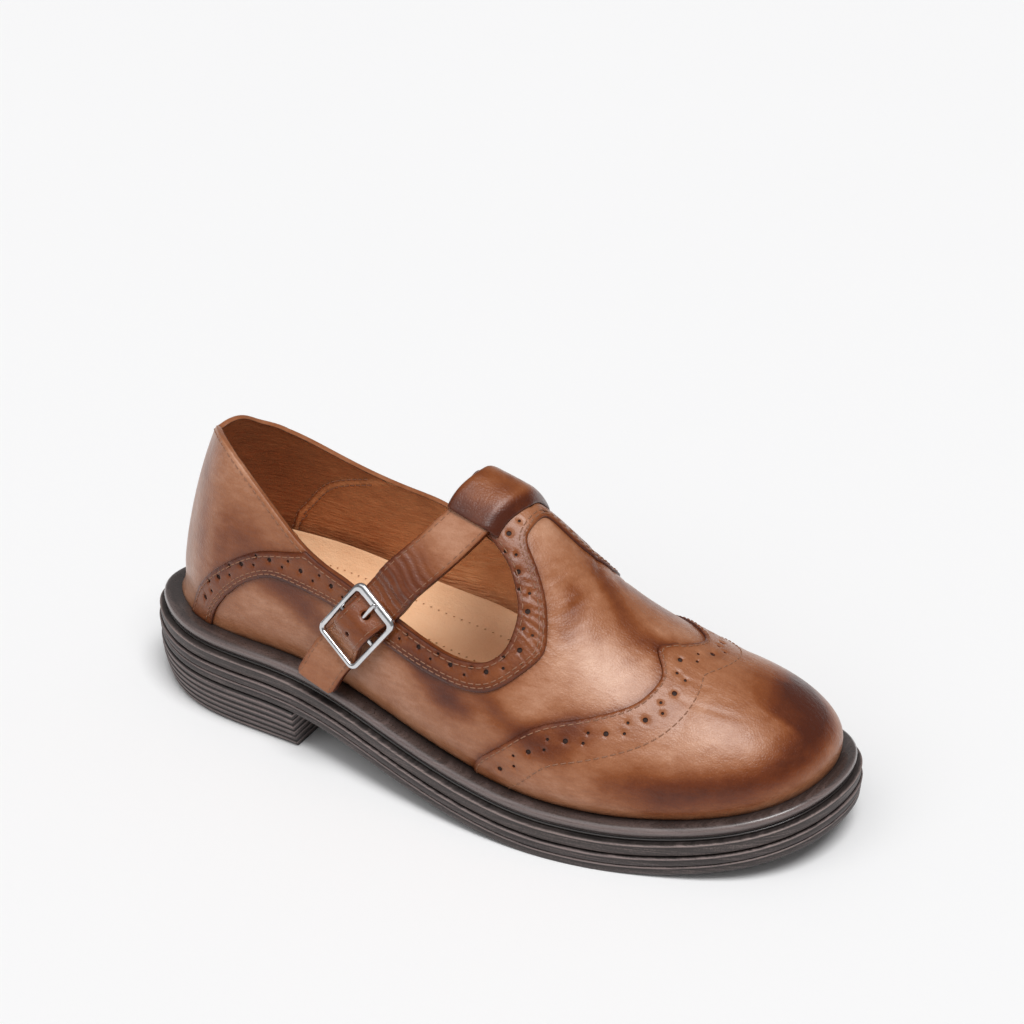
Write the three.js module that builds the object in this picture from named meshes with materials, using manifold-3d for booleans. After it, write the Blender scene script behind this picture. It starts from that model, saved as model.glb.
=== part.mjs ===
// Women's T-bar mary jane, right shoe, with a wing cap, a brogue trim band and a ribbed rubber sole.
// Millimetres. +X to the toe, +Y to the medial side, +Z up. Ground at z = 0.
import * as THREE from 'three';
import { mergeVertices } from 'three/addons/utils/BufferGeometryUtils.js';
import Module from 'manifold-3d';

const wasm = await Module();
wasm.setup();

// Driving sizes of the sole
const soleLength = 272;
const ballWidth = 103;
const heelHeight = 33.5;
const soleThickness = 17.3;
const toeSpring = 12;
const heelBreast = 78;
const weltThickness = 5.0;
const midsoleThickness = 4.9;
const beadInset = 3.7;
const heelTaper = 3.0;
const ribCount = 6;
const ribDepth = 0.7;
const ribGroove = 0.7;

// Driving sizes of the upper
const featherInset = 9;
const instepHeight = 113;
const upperWall = 2.2;
const overlayStep = 0.9;
const insoleThickness = 5;
const insoleEase = 2.4;
const insoleCup = 5;
const insoleArch = 8;

// Driving sizes of the fastening
const strapWidth = 15.5;
const strapThickness = 2.0;
const strapFlare = 0.8;
const strapEase = 0.5;
const tabThickness = 2.0;
const tabSpan = 0.47;
const buckleLength = 26;
const buckleWire = 2.2;
const buckleCorner = 1.6;
const prongThickness = 1.6;

// Running gap between neighbouring pieces
const gap = 0.3;

// Sole outline at its widest: share of the length from the heel, share of the ball width from the axis
const soleOutline = [
  { along: 0.000, across: 0.005 },
  { along: 0.037, across: -0.181 },
  { along: 0.136, across: -0.325 },
  { along: 0.294, across: -0.369 },
  { along: 0.441, across: -0.447 },
  { along: 0.588, across: -0.513 },
  { along: 0.717, across: -0.510 },
  { along: 0.827, across: -0.439 },
  { along: 0.919, across: -0.332 },
  { along: 0.978, across: -0.170 },
  { along: 1.000, across: 0.047 },
  { along: 0.978, across: 0.255 },
  { along: 0.912, across: 0.402 },
  { along: 0.827, across: 0.466 },
  { along: 0.735, across: 0.485 },
  { along: 0.607, across: 0.424 },
  { along: 0.460, across: 0.333 },
  { along: 0.294, across: 0.320 },
  { along: 0.136, across: 0.340 },
  { along: 0.037, across: 0.223 },
];

// Sections of the last at equal steps from the heel pole to the toe pole. ridge is a share of the
// instep height, centre of the ball width, bulge and rise of the feather inset, lift and reach of
// the section's own height and half width.
const lastSections = [
  { ridge: 1.075, centre: 0.000, bulge: 0.06, rise: 1.11, lift: 0.31, reach: 0.600 },
  { ridge: 1.080, centre: -0.005, bulge: 0.17, rise: 1.22, lift: 0.35, reach: 0.550 },
  { ridge: 1.075, centre: -0.010, bulge: 0.22, rise: 1.28, lift: 0.37, reach: 0.450 },
  { ridge: 1.035, centre: -0.015, bulge: 0.28, rise: 1.28, lift: 0.38, reach: 0.370 },
  { ridge: 0.952, centre: -0.020, bulge: 0.33, rise: 1.22, lift: 0.40, reach: 0.350 },
  { ridge: 0.881, centre: -0.024, bulge: 0.33, rise: 1.11, lift: 0.42, reach: 0.360 },
  { ridge: 0.712, centre: -0.020, bulge: 0.33, rise: 0.89, lift: 0.44, reach: 0.400 },
  { ridge: 0.580, centre: -0.010, bulge: 0.33, rise: 0.78, lift: 0.48, reach: 0.410 },
  { ridge: 0.499, centre: 0.010, bulge: 0.24, rise: 0.61, lift: 0.50, reach: 0.455 },
];
const heelBack = { bulge: -0.22, rise: 0.89, lift: 0.18, reach: 0.50 };
const toeTip = { bulge: 0.07, rise: 0.50, lift: 0.44, reach: 0.39 };
const heelPole = 0.165;
const toePole = 0.815;

// Edge lines of the upper on each side, read on the middle plane along lines sloping up at 45 degrees:
// share of the sole length, share of the instep height.
const lateralTopline = [
  { along: -0.040, up: 1.220 },
  { along: 0.090, up: 0.906 },
  { along: 0.140, up: 0.793 },
  { along: 0.197, up: 0.656 },
  { along: 0.250, up: 0.527 },
  { along: 0.300, up: 0.423 },
  { along: 0.366, up: 0.345 },
  { along: 0.441, up: 0.258 },
  { along: 0.513, up: 0.183 },
  { along: 0.553, up: 0.171 },
  { along: 0.576, up: 0.188 },
  { along: 0.595, up: 0.250 },
  { along: 0.601, up: 0.345 },
  { along: 0.597, up: 0.447 },
  { along: 0.578, up: 0.570 },
  { along: 0.557, up: 0.640 },
  { along: 0.530, up: 0.700 },
  { along: 0.488, up: 0.775 },
];
const medialTopline = [
  { along: -0.040, up: 1.220 },
  { along: 0.090, up: 0.900 },
  { along: 0.129, up: 0.732 },
  { along: 0.182, up: 0.665 },
  { along: 0.241, up: 0.612 },
  { along: 0.302, up: 0.581 },
  { along: 0.363, up: 0.566 },
  { along: 0.410, up: 0.540 },
  { along: 0.455, up: 0.450 },
  { along: 0.500, up: 0.345 },
  { along: 0.545, up: 0.290 },
  { along: 0.576, up: 0.305 },
  { along: 0.594, up: 0.375 },
  { along: 0.600, up: 0.470 },
  { along: 0.588, up: 0.575 },
  { along: 0.563, up: 0.665 },
  { along: 0.530, up: 0.730 },
  { along: 0.488, up: 0.790 },
];
const lateralCap = [
  { along: 0.545, up: -0.330 },
  { along: 0.573, up: -0.196 },
  { along: 0.606, up: -0.120 },
  { along: 0.639, up: -0.033 },
  { along: 0.670, up: 0.034 },
  { along: 0.703, up: 0.087 },
  { along: 0.744, up: 0.176 },
  { along: 0.765, up: 0.262 },
  { along: 0.772, up: 0.348 },
  { along: 0.766, up: 0.414 },
  { along: 0.752, up: 0.486 },
  { along: 0.760, up: 0.520 },
  { along: 0.768, up: 0.560 },
];
const medialCap = [
  { along: 0.545, up: -0.300 },
  { along: 0.573, up: -0.150 },
  { along: 0.606, up: -0.055 },
  { along: 0.639, up: 0.025 },
  { along: 0.676, up: 0.110 },
  { along: 0.715, up: 0.195 },
  { along: 0.753, up: 0.296 },
  { along: 0.779, up: 0.373 },
  { along: 0.785, up: 0.440 },
  { along: 0.778, up: 0.503 },
  { along: 0.768, up: 0.560 },
];
const bandOuter = [
  { along: 0.075, up: 0.040 },
  { along: 0.094, up: 0.143 },
  { along: 0.112, up: 0.215 },
  { along: 0.146, up: 0.285 },
  { along: 0.193, up: 0.360 },
  { along: 0.238, up: 0.402 },
  { along: 0.285, up: 0.425 },
  { along: 0.320, up: 0.470 },
];
const lateralBandInner = [
  { along: 0.125, up: 0.020 },
  { along: 0.142, up: 0.125 },
  { along: 0.163, up: 0.188 },
  { along: 0.193, up: 0.255 },
  { along: 0.231, up: 0.302 },
  { along: 0.262, up: 0.305 },
  { along: 0.323, up: 0.273 },
  { along: 0.380, up: 0.222 },
  { along: 0.441, up: 0.150 },
  { along: 0.500, up: 0.092 },
  { along: 0.560, up: 0.064 },
  { along: 0.603, up: 0.118 },
  { along: 0.637, up: 0.259 },
  { along: 0.640, up: 0.341 },
  { along: 0.626, up: 0.487 },
  { along: 0.600, up: 0.630 },
  { along: 0.560, up: 0.783 },
];
const medialBandInner = [
  { along: 0.125, up: 0.020 },
  { along: 0.142, up: 0.125 },
  { along: 0.163, up: 0.188 },
  { along: 0.193, up: 0.255 },
  { along: 0.231, up: 0.320 },
  { along: 0.275, up: 0.390 },
  { along: 0.323, up: 0.440 },
  { along: 0.380, up: 0.430 },
  { along: 0.441, up: 0.340 },
  { along: 0.500, up: 0.240 },
  { along: 0.560, up: 0.180 },
  { along: 0.610, up: 0.225 },
  { along: 0.637, up: 0.345 },
  { along: 0.640, up: 0.450 },
  { along: 0.626, up: 0.570 },
  { along: 0.600, up: 0.700 },
  { along: 0.560, up: 0.830 },
];

// Loop at the end of the T-bar: its middle, and its inner half length in plan, as shares of the sole
// length. ridgeStretch is the length along the ridge for a length in plan.
const loopCentre = 0.5105;
const ridgeStretch = 1.08;
const loopHalf = ((strapWidth + strapFlare) / 2 / ridgeStretch + 5 * gap) / soleLength;

// Course of the strap over the last: share of the sole length, signed share of the way from the ridge
// to the feather edge, minus on the lateral side
const overCourse = [
  { along: 0.4045, side: 0.80 },
  { along: 0.4240, side: 0.66 },
  { along: 0.4520, side: 0.50 },
  { along: 0.4850, side: 0.34 },
  { along: 0.5110, side: 0.22 },
  { along: 0.5120, side: 0.11 },
  { along: 0.5120, side: 0.00 },
  { along: 0.5120, side: -0.11 },
  { along: 0.5110, side: -0.22 },
  { along: 0.4790, side: -0.38 },
];

// Place of the buckle, as shares of the sole length, ball width and instep height, and its two directions
const buckleCentre = new THREE.Vector3(0.3955 * soleLength, -0.3840 * ballWidth, 0.537 * instepHeight);
const buckleDown = new THREE.Vector3(-0.59, -0.17, -0.79).normalize();
const buckleOut = new THREE.Vector3(-0.055, -0.965, 0.250).normalize();

// Cubic spline through the values of a closed or open row list, at equal parameter steps
const splinePasses = 60;

function controlsOf(values, closed) {
  const n = values.length;
  const c = values.slice();
  for (let pass = 0; pass < splinePasses; pass++) {
    for (let i = 0; i < n; i++) {
      if (!closed && (i === 0 || i === n - 1)) continue;
      c[i] = (6 * values[i] - c[(i + n - 1) % n] - c[(i + 1) % n]) / 4;
    }
  }
  return c;
}

function splineWeights(f) {
  const g = 1 - f;
  return [g ** 3 / 6, (3 * f ** 3 - 6 * f * f + 4) / 6, (3 * g ** 3 - 6 * g * g + 4) / 6, f ** 3 / 6];
}

function splineAt(c, t, closed) {
  const n = c.length;
  const steps = closed ? n : n - 1;
  const place = closed ? (t - Math.floor(t)) * n : Math.min(Math.max(t, 0), 1) * steps;
  const i = Math.min(Math.floor(place), steps - 1);
  const weights = splineWeights(place - i);
  let sum = 0;
  for (let k = 0; k < 4; k++) {
    const j = i - 1 + k;
    let value;
    if (closed) value = c[(j + n) % n];
    else if (j < 0) value = 2 * c[0] - c[1];
    else if (j > n - 1) value = 2 * c[n - 1] - c[n - 2];
    else value = c[j];
    sum += weights[k] * value;
  }
  return sum;
}

function smoothStep(value, from, to) {
  const t = Math.min(1, Math.max(0, (value - from) / (to - from)));
  return t * t * (3 - 2 * t);
}

// Outline of the sole, inset by a distance, at a share of the way round
const outlineX = controlsOf(soleOutline.map((row) => row.along * soleLength), true);
const outlineY = controlsOf(soleOutline.map((row) => row.across * ballWidth), true);
const tinyTurn = 1e-4;

function outlineAt(turn, inset) {
  const x = splineAt(outlineX, turn, true);
  const y = splineAt(outlineY, turn, true);
  const dx = splineAt(outlineX, turn + tinyTurn, true) - splineAt(outlineX, turn - tinyTurn, true);
  const dy = splineAt(outlineY, turn + tinyTurn, true) - splineAt(outlineY, turn - tinyTurn, true);
  const size = Math.hypot(dx, dy);
  return [x - (dy / size) * inset, y + (dx / size) * inset];
}

// Height of the welt's top and of the ground side along the shoe
const archBack = 0.22;
const archFront = 0.69;
const springFrom = 0.735;
const treadFlat = 0.4;

function weltTop(x) {
  const along = x / soleLength;
  const spring = Math.max(0, (along - springFrom) / (1 - springFrom));
  const fore = soleThickness - treadFlat;
  return heelHeight + (fore - heelHeight) * smoothStep(along, archBack, archFront) + toeSpring * spring * spring;
}

function soleBottom(x) {
  return Math.max(0, weltTop(x) - soleThickness);
}

// Turns round the outline at which the lateral and the medial side have the same x
const soleSteps = 31;

function turnAtX(x, lateral) {
  let low = lateral ? 0 : 0.5;
  let high = lateral ? 0.5 : 1;
  for (let pass = 0; pass < 40; pass++) {
    const mid = (low + high) / 2;
    const past = splineAt(outlineX, mid, true) > x;
    if (past === lateral) high = mid;
    else low = mid;
  }
  return (low + high) / 2;
}

function soleTurns(count) {
  const turns = [0];
  const medial = [];
  for (let k = 1; k < count; k++) {
    const x = soleLength * (1 - Math.cos((Math.PI * k) / count)) / 2;
    turns.push(turnAtX(x, true));
    medial.unshift(turnAtX(x, false));
  }
  return [...turns, 0.5, ...medial];
}

// A closed body from rings of points: walls between the rings, and end faces laid across each ring
function bodyOfRings(rings, wrap = false) {
  const n = rings[0].length;
  const m = rings.length;
  const vertices = rings.flat(2);
  const faces = [];
  const spans = wrap ? m : m - 1;
  for (let j = 0; j < spans; j++) {
    const below = j * n;
    const above = ((j + 1) % m) * n;
    for (let i = 0; i < n; i++) {
      const k = (i + 1) % n;
      faces.push([below + i, below + k, above + k], [below + i, above + k, above + i]);
    }
  }
  if (!wrap) {
    for (const [base, flip] of [[0, true], [(m - 1) * n, false]]) {
      for (let i = 0; i + 1 <= n - 1 - i; i++) {
        const a = i;
        const b = i + 1;
        const c = n - 1 - i;
        const d = n - i;
        if (b < c) faces.push(flip ? [base + a, base + c, base + b] : [base + a, base + b, base + c]);
        if (i > 0) faces.push(flip ? [base + a, base + d, base + c] : [base + a, base + c, base + d]);
      }
    }
  }
  return geometryOf(vertices, faces.flat());
}

function geometryOf(positions, indices) {
  const geometry = new THREE.BufferGeometry();
  geometry.setAttribute('position', new THREE.BufferAttribute(new Float32Array(positions), 3));
  geometry.setIndex(indices);
  return outward(geometry);
}

// Turns the faces round where a body was built inside out
function outward(geometry) {
  const p = geometry.attributes.position;
  const index = geometry.index.array;
  const [a, b, c] = [new THREE.Vector3(), new THREE.Vector3(), new THREE.Vector3()];
  let volume = 0;
  for (let i = 0; i < index.length; i += 3) {
    a.fromBufferAttribute(p, index[i]);
    b.fromBufferAttribute(p, index[i + 1]);
    c.fromBufferAttribute(p, index[i + 2]);
    volume += a.dot(b.cross(c));
  }
  if (volume < 0) {
    for (let i = 0; i < index.length; i += 3) [index[i], index[i + 1]] = [index[i + 1], index[i]];
  }
  return geometry;
}

function solidOf(geometry) {
  const bare = geometry.clone();
  bare.deleteAttribute('normal');
  bare.deleteAttribute('uv');
  const merged = mergeVertices(bare, 1e-5);
  return new wasm.Manifold(new wasm.Mesh({
    numProp: 3,
    vertProperties: merged.attributes.position.array,
    triVerts: new Uint32Array(merged.index.array),
  }));
}

function geometryFrom(solid) {
  const mesh = solid.getMesh();
  const geometry = new THREE.BufferGeometry();
  geometry.setAttribute('position', new THREE.BufferAttribute(new Float32Array(mesh.vertProperties), 3));
  geometry.setIndex(Array.from(mesh.triVerts));
  return geometry;
}

// Layers of the sole. A row of a side profile: inset from the widest outline, depth under the welt's top.
function soleLayer(profile) {
  const turns = soleTurns(soleSteps);
  const rings = profile.map(({ inset, depth }) => turns.map((turn) => {
    const [x, y] = outlineAt(turn, inset);
    return [x, y, depth < soleThickness ? weltTop(x) - depth : soleBottom(x)];
  }));
  return bodyOfRings(rings);
}

function makeWelt() {
  const bead = weltThickness - 1;
  return soleLayer([
    { inset: beadInset + 1.4, depth: 0 },
    { inset: beadInset - 0.2, depth: 0.35 },
    { inset: beadInset - 1.3, depth: 0.3 * bead },
    { inset: beadInset - 1.6, depth: 0.55 * bead },
    { inset: beadInset - 1.2, depth: 0.85 * bead },
    { inset: beadInset + 0.4, depth: bead },
    { inset: beadInset + 0.4, depth: weltThickness },
  ]);
}

function bandProfile(top, bottom, bulge) {
  const lip = 0.5;
  return [
    { inset: bulge + 1.1, depth: top },
    { inset: bulge + 0.1, depth: top + lip },
    { inset: bulge, depth: (top + bottom) / 2 },
    { inset: bulge + 0.3, depth: bottom - lip },
    { inset: bulge + 1.1, depth: bottom },
  ];
}

function makeMidsole() {
  return soleLayer(bandProfile(weltThickness + gap, weltThickness + midsoleThickness, 0.4));
}

function makeOutsole() {
  const top = weltThickness + midsoleThickness + gap;
  const middle = (top + soleThickness) / 2;
  const upperBand = bandProfile(top, middle, 0);
  const lowerBand = bandProfile(middle, soleThickness, 0.3);
  return soleLayer([...upperBand, ...lowerBand.slice(1)]);
}

// Heel block with ribs round its sides and back, and a straight breast
const heelSteps = 9;

function makeHeel() {
  const lateral = [];
  const medial = [];
  for (let k = 1; k <= heelSteps; k++) {
    const x = heelBreast * (1 - Math.cos((Math.PI * k) / (2 * heelSteps)));
    lateral.push(turnAtX(x, true));
    medial.unshift(turnAtX(x, false));
  }
  const turns = [0, ...lateral, ...medial];
  const levels = [];
  for (let rib = 0; rib < ribCount; rib++) {
    const top = rib / ribCount;
    const bottom = (rib + 1) / ribCount;
    const edge = ribGroove / (ribCount * 4);
    levels.push({ down: top, groove: 1 }, { down: top + edge, groove: 0 });
    levels.push({ down: bottom - edge, groove: 0 });
  }
  levels.push({ down: 1, groove: 1 });
  const rings = levels.map(({ down, groove }) => turns.map((turn) => {
    const inset = 0.2 + heelTaper * down ** 2 + groove * ribDepth;
    const [x, y] = outlineAt(turn, inset);
    const back = Math.min(x, heelBreast);
    const top = weltTop(back) - soleThickness - gap;
    return [back, y, top * (1 - down)];
  }));
  return bodyOfRings(rings);
}

// The last: a section at a point of the ridge, towards a direction in plan
const ridgeTables = {};
for (const column of Object.keys(lastSections[0])) {
  ridgeTables[column] = controlsOf(lastSections.map((row) => row[column]), false);
}
const featherSamples = 720;
const featherLoop = [];
for (let i = 0; i < featherSamples; i++) featherLoop.push(outlineAt(i / featherSamples, featherInset));

function lastColumn(column, x) {
  return splineAt(ridgeTables[column], (x / soleLength - heelPole) / (toePole - heelPole), false);
}

function featherReach(ox, oy, dx, dy) {
  let best = 0;
  for (let i = 0; i < featherSamples; i++) {
    const [ax, ay] = featherLoop[i];
    const [bx, by] = featherLoop[(i + 1) % featherSamples];
    const sideA = (ax - ox) * dy - (ay - oy) * dx;
    const sideB = (bx - ox) * dy - (by - oy) * dx;
    if ((sideA <= 0) === (sideB <= 0)) continue;
    const f = sideA / (sideA - sideB);
    const far = (ax + (bx - ax) * f - ox) * dx + (ay + (by - ay) * f - oy) * dy;
    best = Math.max(best, far);
  }
  return best;
}

const bulgeShare = 0.15;

function lastSection(x, angle) {
  const centre = lastColumn('centre', x) * ballWidth;
  const dx = Math.cos(angle);
  const dy = Math.sin(angle);
  const feather = featherReach(x, centre, dx, dy);
  const foot = weltTop(x + dx * feather) + 1.5 * gap;
  const end = dx > 0 ? toeTip : heelBack;
  const shape = {};
  for (const column of Object.keys(end)) {
    const side = lastColumn(column, x);
    shape[column] = side + (end[column] - side) * dx * dx;
  }
  const ridge = lastColumn('ridge', x) * instepHeight;
  const slope = (lastColumn('ridge', x + 0.5) - lastColumn('ridge', x - 0.5)) * instepHeight * dx;
  const wide = feather + shape.bulge * featherInset;
  const high = foot + shape.rise * featherInset;
  const handle = shape.reach * wide;
  return {
    x, centre, dx, dy,
    low: [[feather, foot], [wide, high - 0.6 * (high - foot)], [wide, high]],
    body: [[wide, high], [wide, high + shape.lift * (ridge - high)], [handle, ridge + slope * handle], [0, ridge]],
  };
}

function bezier(points, t) {
  let row = points;
  while (row.length > 1) {
    row = row.slice(1).map((p, i) => [row[i][0] + (p[0] - row[i][0]) * t, row[i][1] + (p[1] - row[i][1]) * t]);
  }
  return row[0];
}

function onSection(section, share) {
  const [r, z] = share < bulgeShare
    ? bezier(section.low, share / bulgeShare)
    : bezier(section.body, (share - bulgeShare) / (1 - bulgeShare));
  return new THREE.Vector3(section.x + section.dx * r, section.centre + section.dy * r, z);
}

// Sections all the way round: lateral side forward, toe fan, medial side back, heel fan
const sideSteps = 22;
const toeSteps = 16;
const heelFanSteps = 12;

function lastStations() {
  const back = heelPole * soleLength;
  const front = toePole * soleLength;
  const list = [];
  for (let k = 0; k < sideSteps; k++) list.push([back + ((front - back) * k) / sideSteps, -Math.PI / 2]);
  for (let k = 0; k < toeSteps; k++) list.push([front, -Math.PI / 2 + (Math.PI * k) / toeSteps]);
  for (let k = 0; k < sideSteps; k++) list.push([front + ((back - front) * k) / sideSteps, Math.PI / 2]);
  for (let k = 0; k < heelFanSteps; k++) list.push([back, Math.PI / 2 + (Math.PI * k) / heelFanSteps]);
  return list.map(([x, angle]) => lastSection(x, angle));
}

// A closed form of the last, grown by a distance, its foot dropped by another
const lastRows = [0, 0.08, 0.15, 0.26, 0.37, 0.48, 0.58, 0.67, 0.76, 0.84, 0.92, 1];

function lastForm(grown, drop) {
  const stations = lastStations();
  const grid = lastRows.map((share) => stations.map((section) => onSection(section, share)));
  const n = stations.length;
  const rings = grid.slice(0, -1).map((ring, j) => ring.map((point, i) => {
    const along = ring[(i + 1) % n].clone().sub(ring[(i + n - 1) % n]);
    const up = grid[j + 1][i].clone().sub(grid[Math.max(j - 1, 0)][i]);
    const normal = along.cross(up).normalize();
    if (j === 0) normal.setZ(0).normalize();
    return point.clone().addScaledVector(normal, grown).toArray();
  }));
  const top = grid[grid.length - 1].map((point) => [point.x, point.y, point.z + grown]);
  const foot = rings[0].map(([x, y, z]) => [x, y, z - drop]);
  const all = drop > 0 ? [foot, ...rings, top] : [...rings, top];
  return solidOf(ridgeClosed(all, n));
}

// Walls between the rings, a floor across the lowest one, and a top ring that folds onto the ridge line
function ridgeClosed(rings, n) {
  const vertices = rings.flat(2);
  const faces = [];
  for (let j = 0; j < rings.length - 1; j++) {
    for (let i = 0; i < n; i++) {
      const k = (i + 1) % n;
      const low = j * n;
      const high = (j + 1) * n;
      faces.push([low + i, low + k, high + k], [low + i, high + k, high + i]);
    }
  }
  const spine = floorSpine(rings[0], n);
  const base = vertices.length / 3;
  vertices.push(...spine.flat());
  for (let i = 0; i < n; i++) {
    const k = (i + 1) % n;
    const a = base + spineIndex(i, n);
    const b = base + spineIndex(k, n);
    faces.push([k, i, a]);
    if (a !== b) faces.push([k, a, b]);
  }
  const kept = faces.filter((face) => face.every((a, k) => !samePlace(vertices, a, face[(k + 1) % face.length])));
  return geometryOf(vertices, kept.flat());
}

function samePlace(vertices, a, b) {
  return [0, 1, 2].every((k) => Math.abs(vertices[3 * a + k] - vertices[3 * b + k]) < 1e-6);
}

// The floor's middle line has a point for each pair of side sections, and one for each fan
function spineIndex(i, n) {
  if (i < sideSteps) return i;
  if (i <= sideSteps + toeSteps) return sideSteps;
  if (i < 2 * sideSteps + toeSteps) return 2 * sideSteps + toeSteps - i;
  return 0;
}

function floorSpine(ring, n) {
  const spine = [];
  for (let s = 0; s <= sideSteps; s++) {
    const lateral = ring[s];
    const medial = ring[(2 * sideSteps + toeSteps - s) % n];
    spine.push([lateral[0], (lateral[1] + medial[1]) / 2, (lateral[2] + medial[2]) / 2]);
  }
  return spine;
}

// Rounded line through rows of shares, as points on the middle plane
function edgeLine(rows, perRow = 3) {
  const x = controlsOf(rows.map((row) => row.along * soleLength), false);
  const z = controlsOf(rows.map((row) => row.up * instepHeight), false);
  const count = (rows.length - 1) * perRow;
  const line = [];
  for (let i = 0; i <= count; i++) line.push([splineAt(x, i / count, false), splineAt(z, i / count, false)]);
  return line;
}

// Reach of the cutting prisms: out to the side, up, down and forward of the shoe, past an end point,
// and across the middle plane
const far = 140;
const above = 240;
const below = 60;
const ahead = 30;
const past = 4;
const lap = 0.01;

// A prism from the middle plane out to one side, its walls sloping up at 45 degrees
function sidePrism(points, lateral) {
  const shape = new THREE.Shape(points.map(([x, z]) => new THREE.Vector2(x, z)));
  const geometry = new THREE.ExtrudeGeometry(shape, { depth: far, bevelEnabled: false, steps: 1 });
  const side = lateral ? -1 : 1;
  const p = geometry.attributes.position;
  for (let i = 0; i < p.count; i++) {
    const [x, z, out] = [p.getX(i), p.getY(i), p.getZ(i)];
    p.setXYZ(i, x, side * (out - lap), z + out);
  }
  const merged = mergeVertices(bareOf(geometry), 1e-4);
  return solidOf(outward(merged));
}

function bareOf(geometry) {
  geometry.deleteAttribute('normal');
  geometry.deleteAttribute('uv');
  return geometry;
}

const barBack = (loopCentre - loopHalf) * soleLength + 1.2;

function openingPrism(rows, lateral) {
  const line = edgeLine(rows);
  return sidePrism([...line, [barBack, above], [line[0][0], above]], lateral);
}

function capPrism(rows, lateral) {
  const line = edgeLine(rows);
  const end = line[line.length - 1];
  return sidePrism([...line, [end[0] + past, above], [soleLength + ahead, above],
    [soleLength + ahead, line[0][1] - below], [line[0][0], line[0][1] - below]], lateral);
}

function bandPrism(inner, lateral) {
  const innerLine = edgeLine(inner);
  const outerLine = edgeLine(bandOuter);
  const first = innerLine[0];
  const last = innerLine[innerLine.length - 1];
  const meet = outerLine[outerLine.length - 1];
  const foot = outerLine[0];
  return sidePrism([...innerLine, [last[0] - past, above], [meet[0], above], ...outerLine.reverse(),
    [foot[0] - past, first[1] - below], [first[0] - past, first[1] - below]], lateral);
}

function makeUpper() {
  const base = lastForm(0, 0);
  const raised = lastForm(overlayStep, 0);
  const hollow = lastForm(-upperWall, 12);
  const overlays = [
    capPrism(lateralCap, true),
    capPrism(medialCap, false),
    bandPrism(lateralBandInner, true),
    bandPrism(medialBandInner, false),
  ];
  let outer = base;
  for (const overlay of overlays) outer = outer.add(raised.intersect(overlay));
  const shell = outer.subtract(hollow);
  return geometryFrom(shell.subtract(openingPrism(lateralTopline, true)).subtract(openingPrism(medialTopline, false)));
}

// Moulded insole on the welt's top: its rim climbs the upper's walls, most at the medial arch
const insoleSteps = 22;
const insoleRound = 0.8;
const cupFrom = 0.45;
const cupTo = 0.68;
const medialFrom = -0.12;
const medialTo = 0.2;

// Rise of the rim, how far the wall bulges there, and the place on the insole's spine
function insoleRim(x, y) {
  const back = Math.min(Math.max(x, heelPole * soleLength), toePole * soleLength);
  const turned = (x - back) ** 2 / ((x - back) ** 2 + y ** 2);
  const side = lastColumn('bulge', back);
  const end = x > back ? toeTip.bulge : heelBack.bulge;
  const fade = 1 - smoothStep(x / soleLength, cupFrom, cupTo);
  return {
    back,
    rise: fade * (insoleCup + insoleArch * smoothStep(y / ballWidth, medialFrom, medialTo)),
    flare: fade * (side + (end - side) * turned) * featherInset,
  };
}

// Rows of the insole: extra inset, share of the flare, share of the thickness, share of the rise,
// share of the way in to the spine
const insoleRows = [
  { extra: 1.0, flare: 0, up: 0, rise: 0, way: 0 },
  { extra: 0, flare: 0, up: 0.25, rise: 0, way: 0 },
  { extra: 0, flare: 1, up: 0.8, rise: 0.95, way: 0 },
  { extra: insoleRound, flare: 1, up: 1, rise: 1, way: 0 },
  { extra: insoleRound, flare: 1, up: 1, rise: 0.45, way: 0.22 },
  { extra: insoleRound, flare: 1, up: 1, rise: 0.12, way: 0.48 },
  { extra: insoleRound, flare: 1, up: 1, rise: 0, way: 0.76 },
];

function makeInsole() {
  const turns = soleTurns(insoleSteps);
  const inset = featherInset + upperWall + insoleEase;
  return bodyOfRings(insoleRows.map((row) => turns.map((turn, i) => {
    const rim = insoleRim(...outlineAt(turn, inset));
    const [x, y] = outlineAt(turn, inset + row.extra - row.flare * rim.flare);
    const twin = outlineAt(turns[(turns.length - i) % turns.length], inset);
    const spine = (outlineAt(turn, inset)[1] + twin[1]) / 2;
    const along = x + (rim.back - x) * row.way;
    return [along, y + (spine - y) * row.way, weltTop(along) + gap + row.up * insoleThickness + row.rise * rim.rise];
  })));
}

// A point over the last's skin: share of the length, signed share down from the ridge, lift off the skin
const tinyShare = 0.01;

function skinPoint(along, side) {
  const section = lastSection(along * soleLength, side < 0 ? -Math.PI / 2 : Math.PI / 2);
  return onSection(section, 1 - Math.abs(side));
}

function skinNormal(along, side) {
  const du = skinPoint(along + tinyShare, side).sub(skinPoint(along - tinyShare, side));
  const dv = skinPoint(along, side + tinyShare).sub(skinPoint(along, side - tinyShare));
  return du.cross(dv).normalize();
}

function overSkin(along, side, lift) {
  return skinPoint(along, side).addScaledVector(skinNormal(along, side), lift);
}

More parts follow.
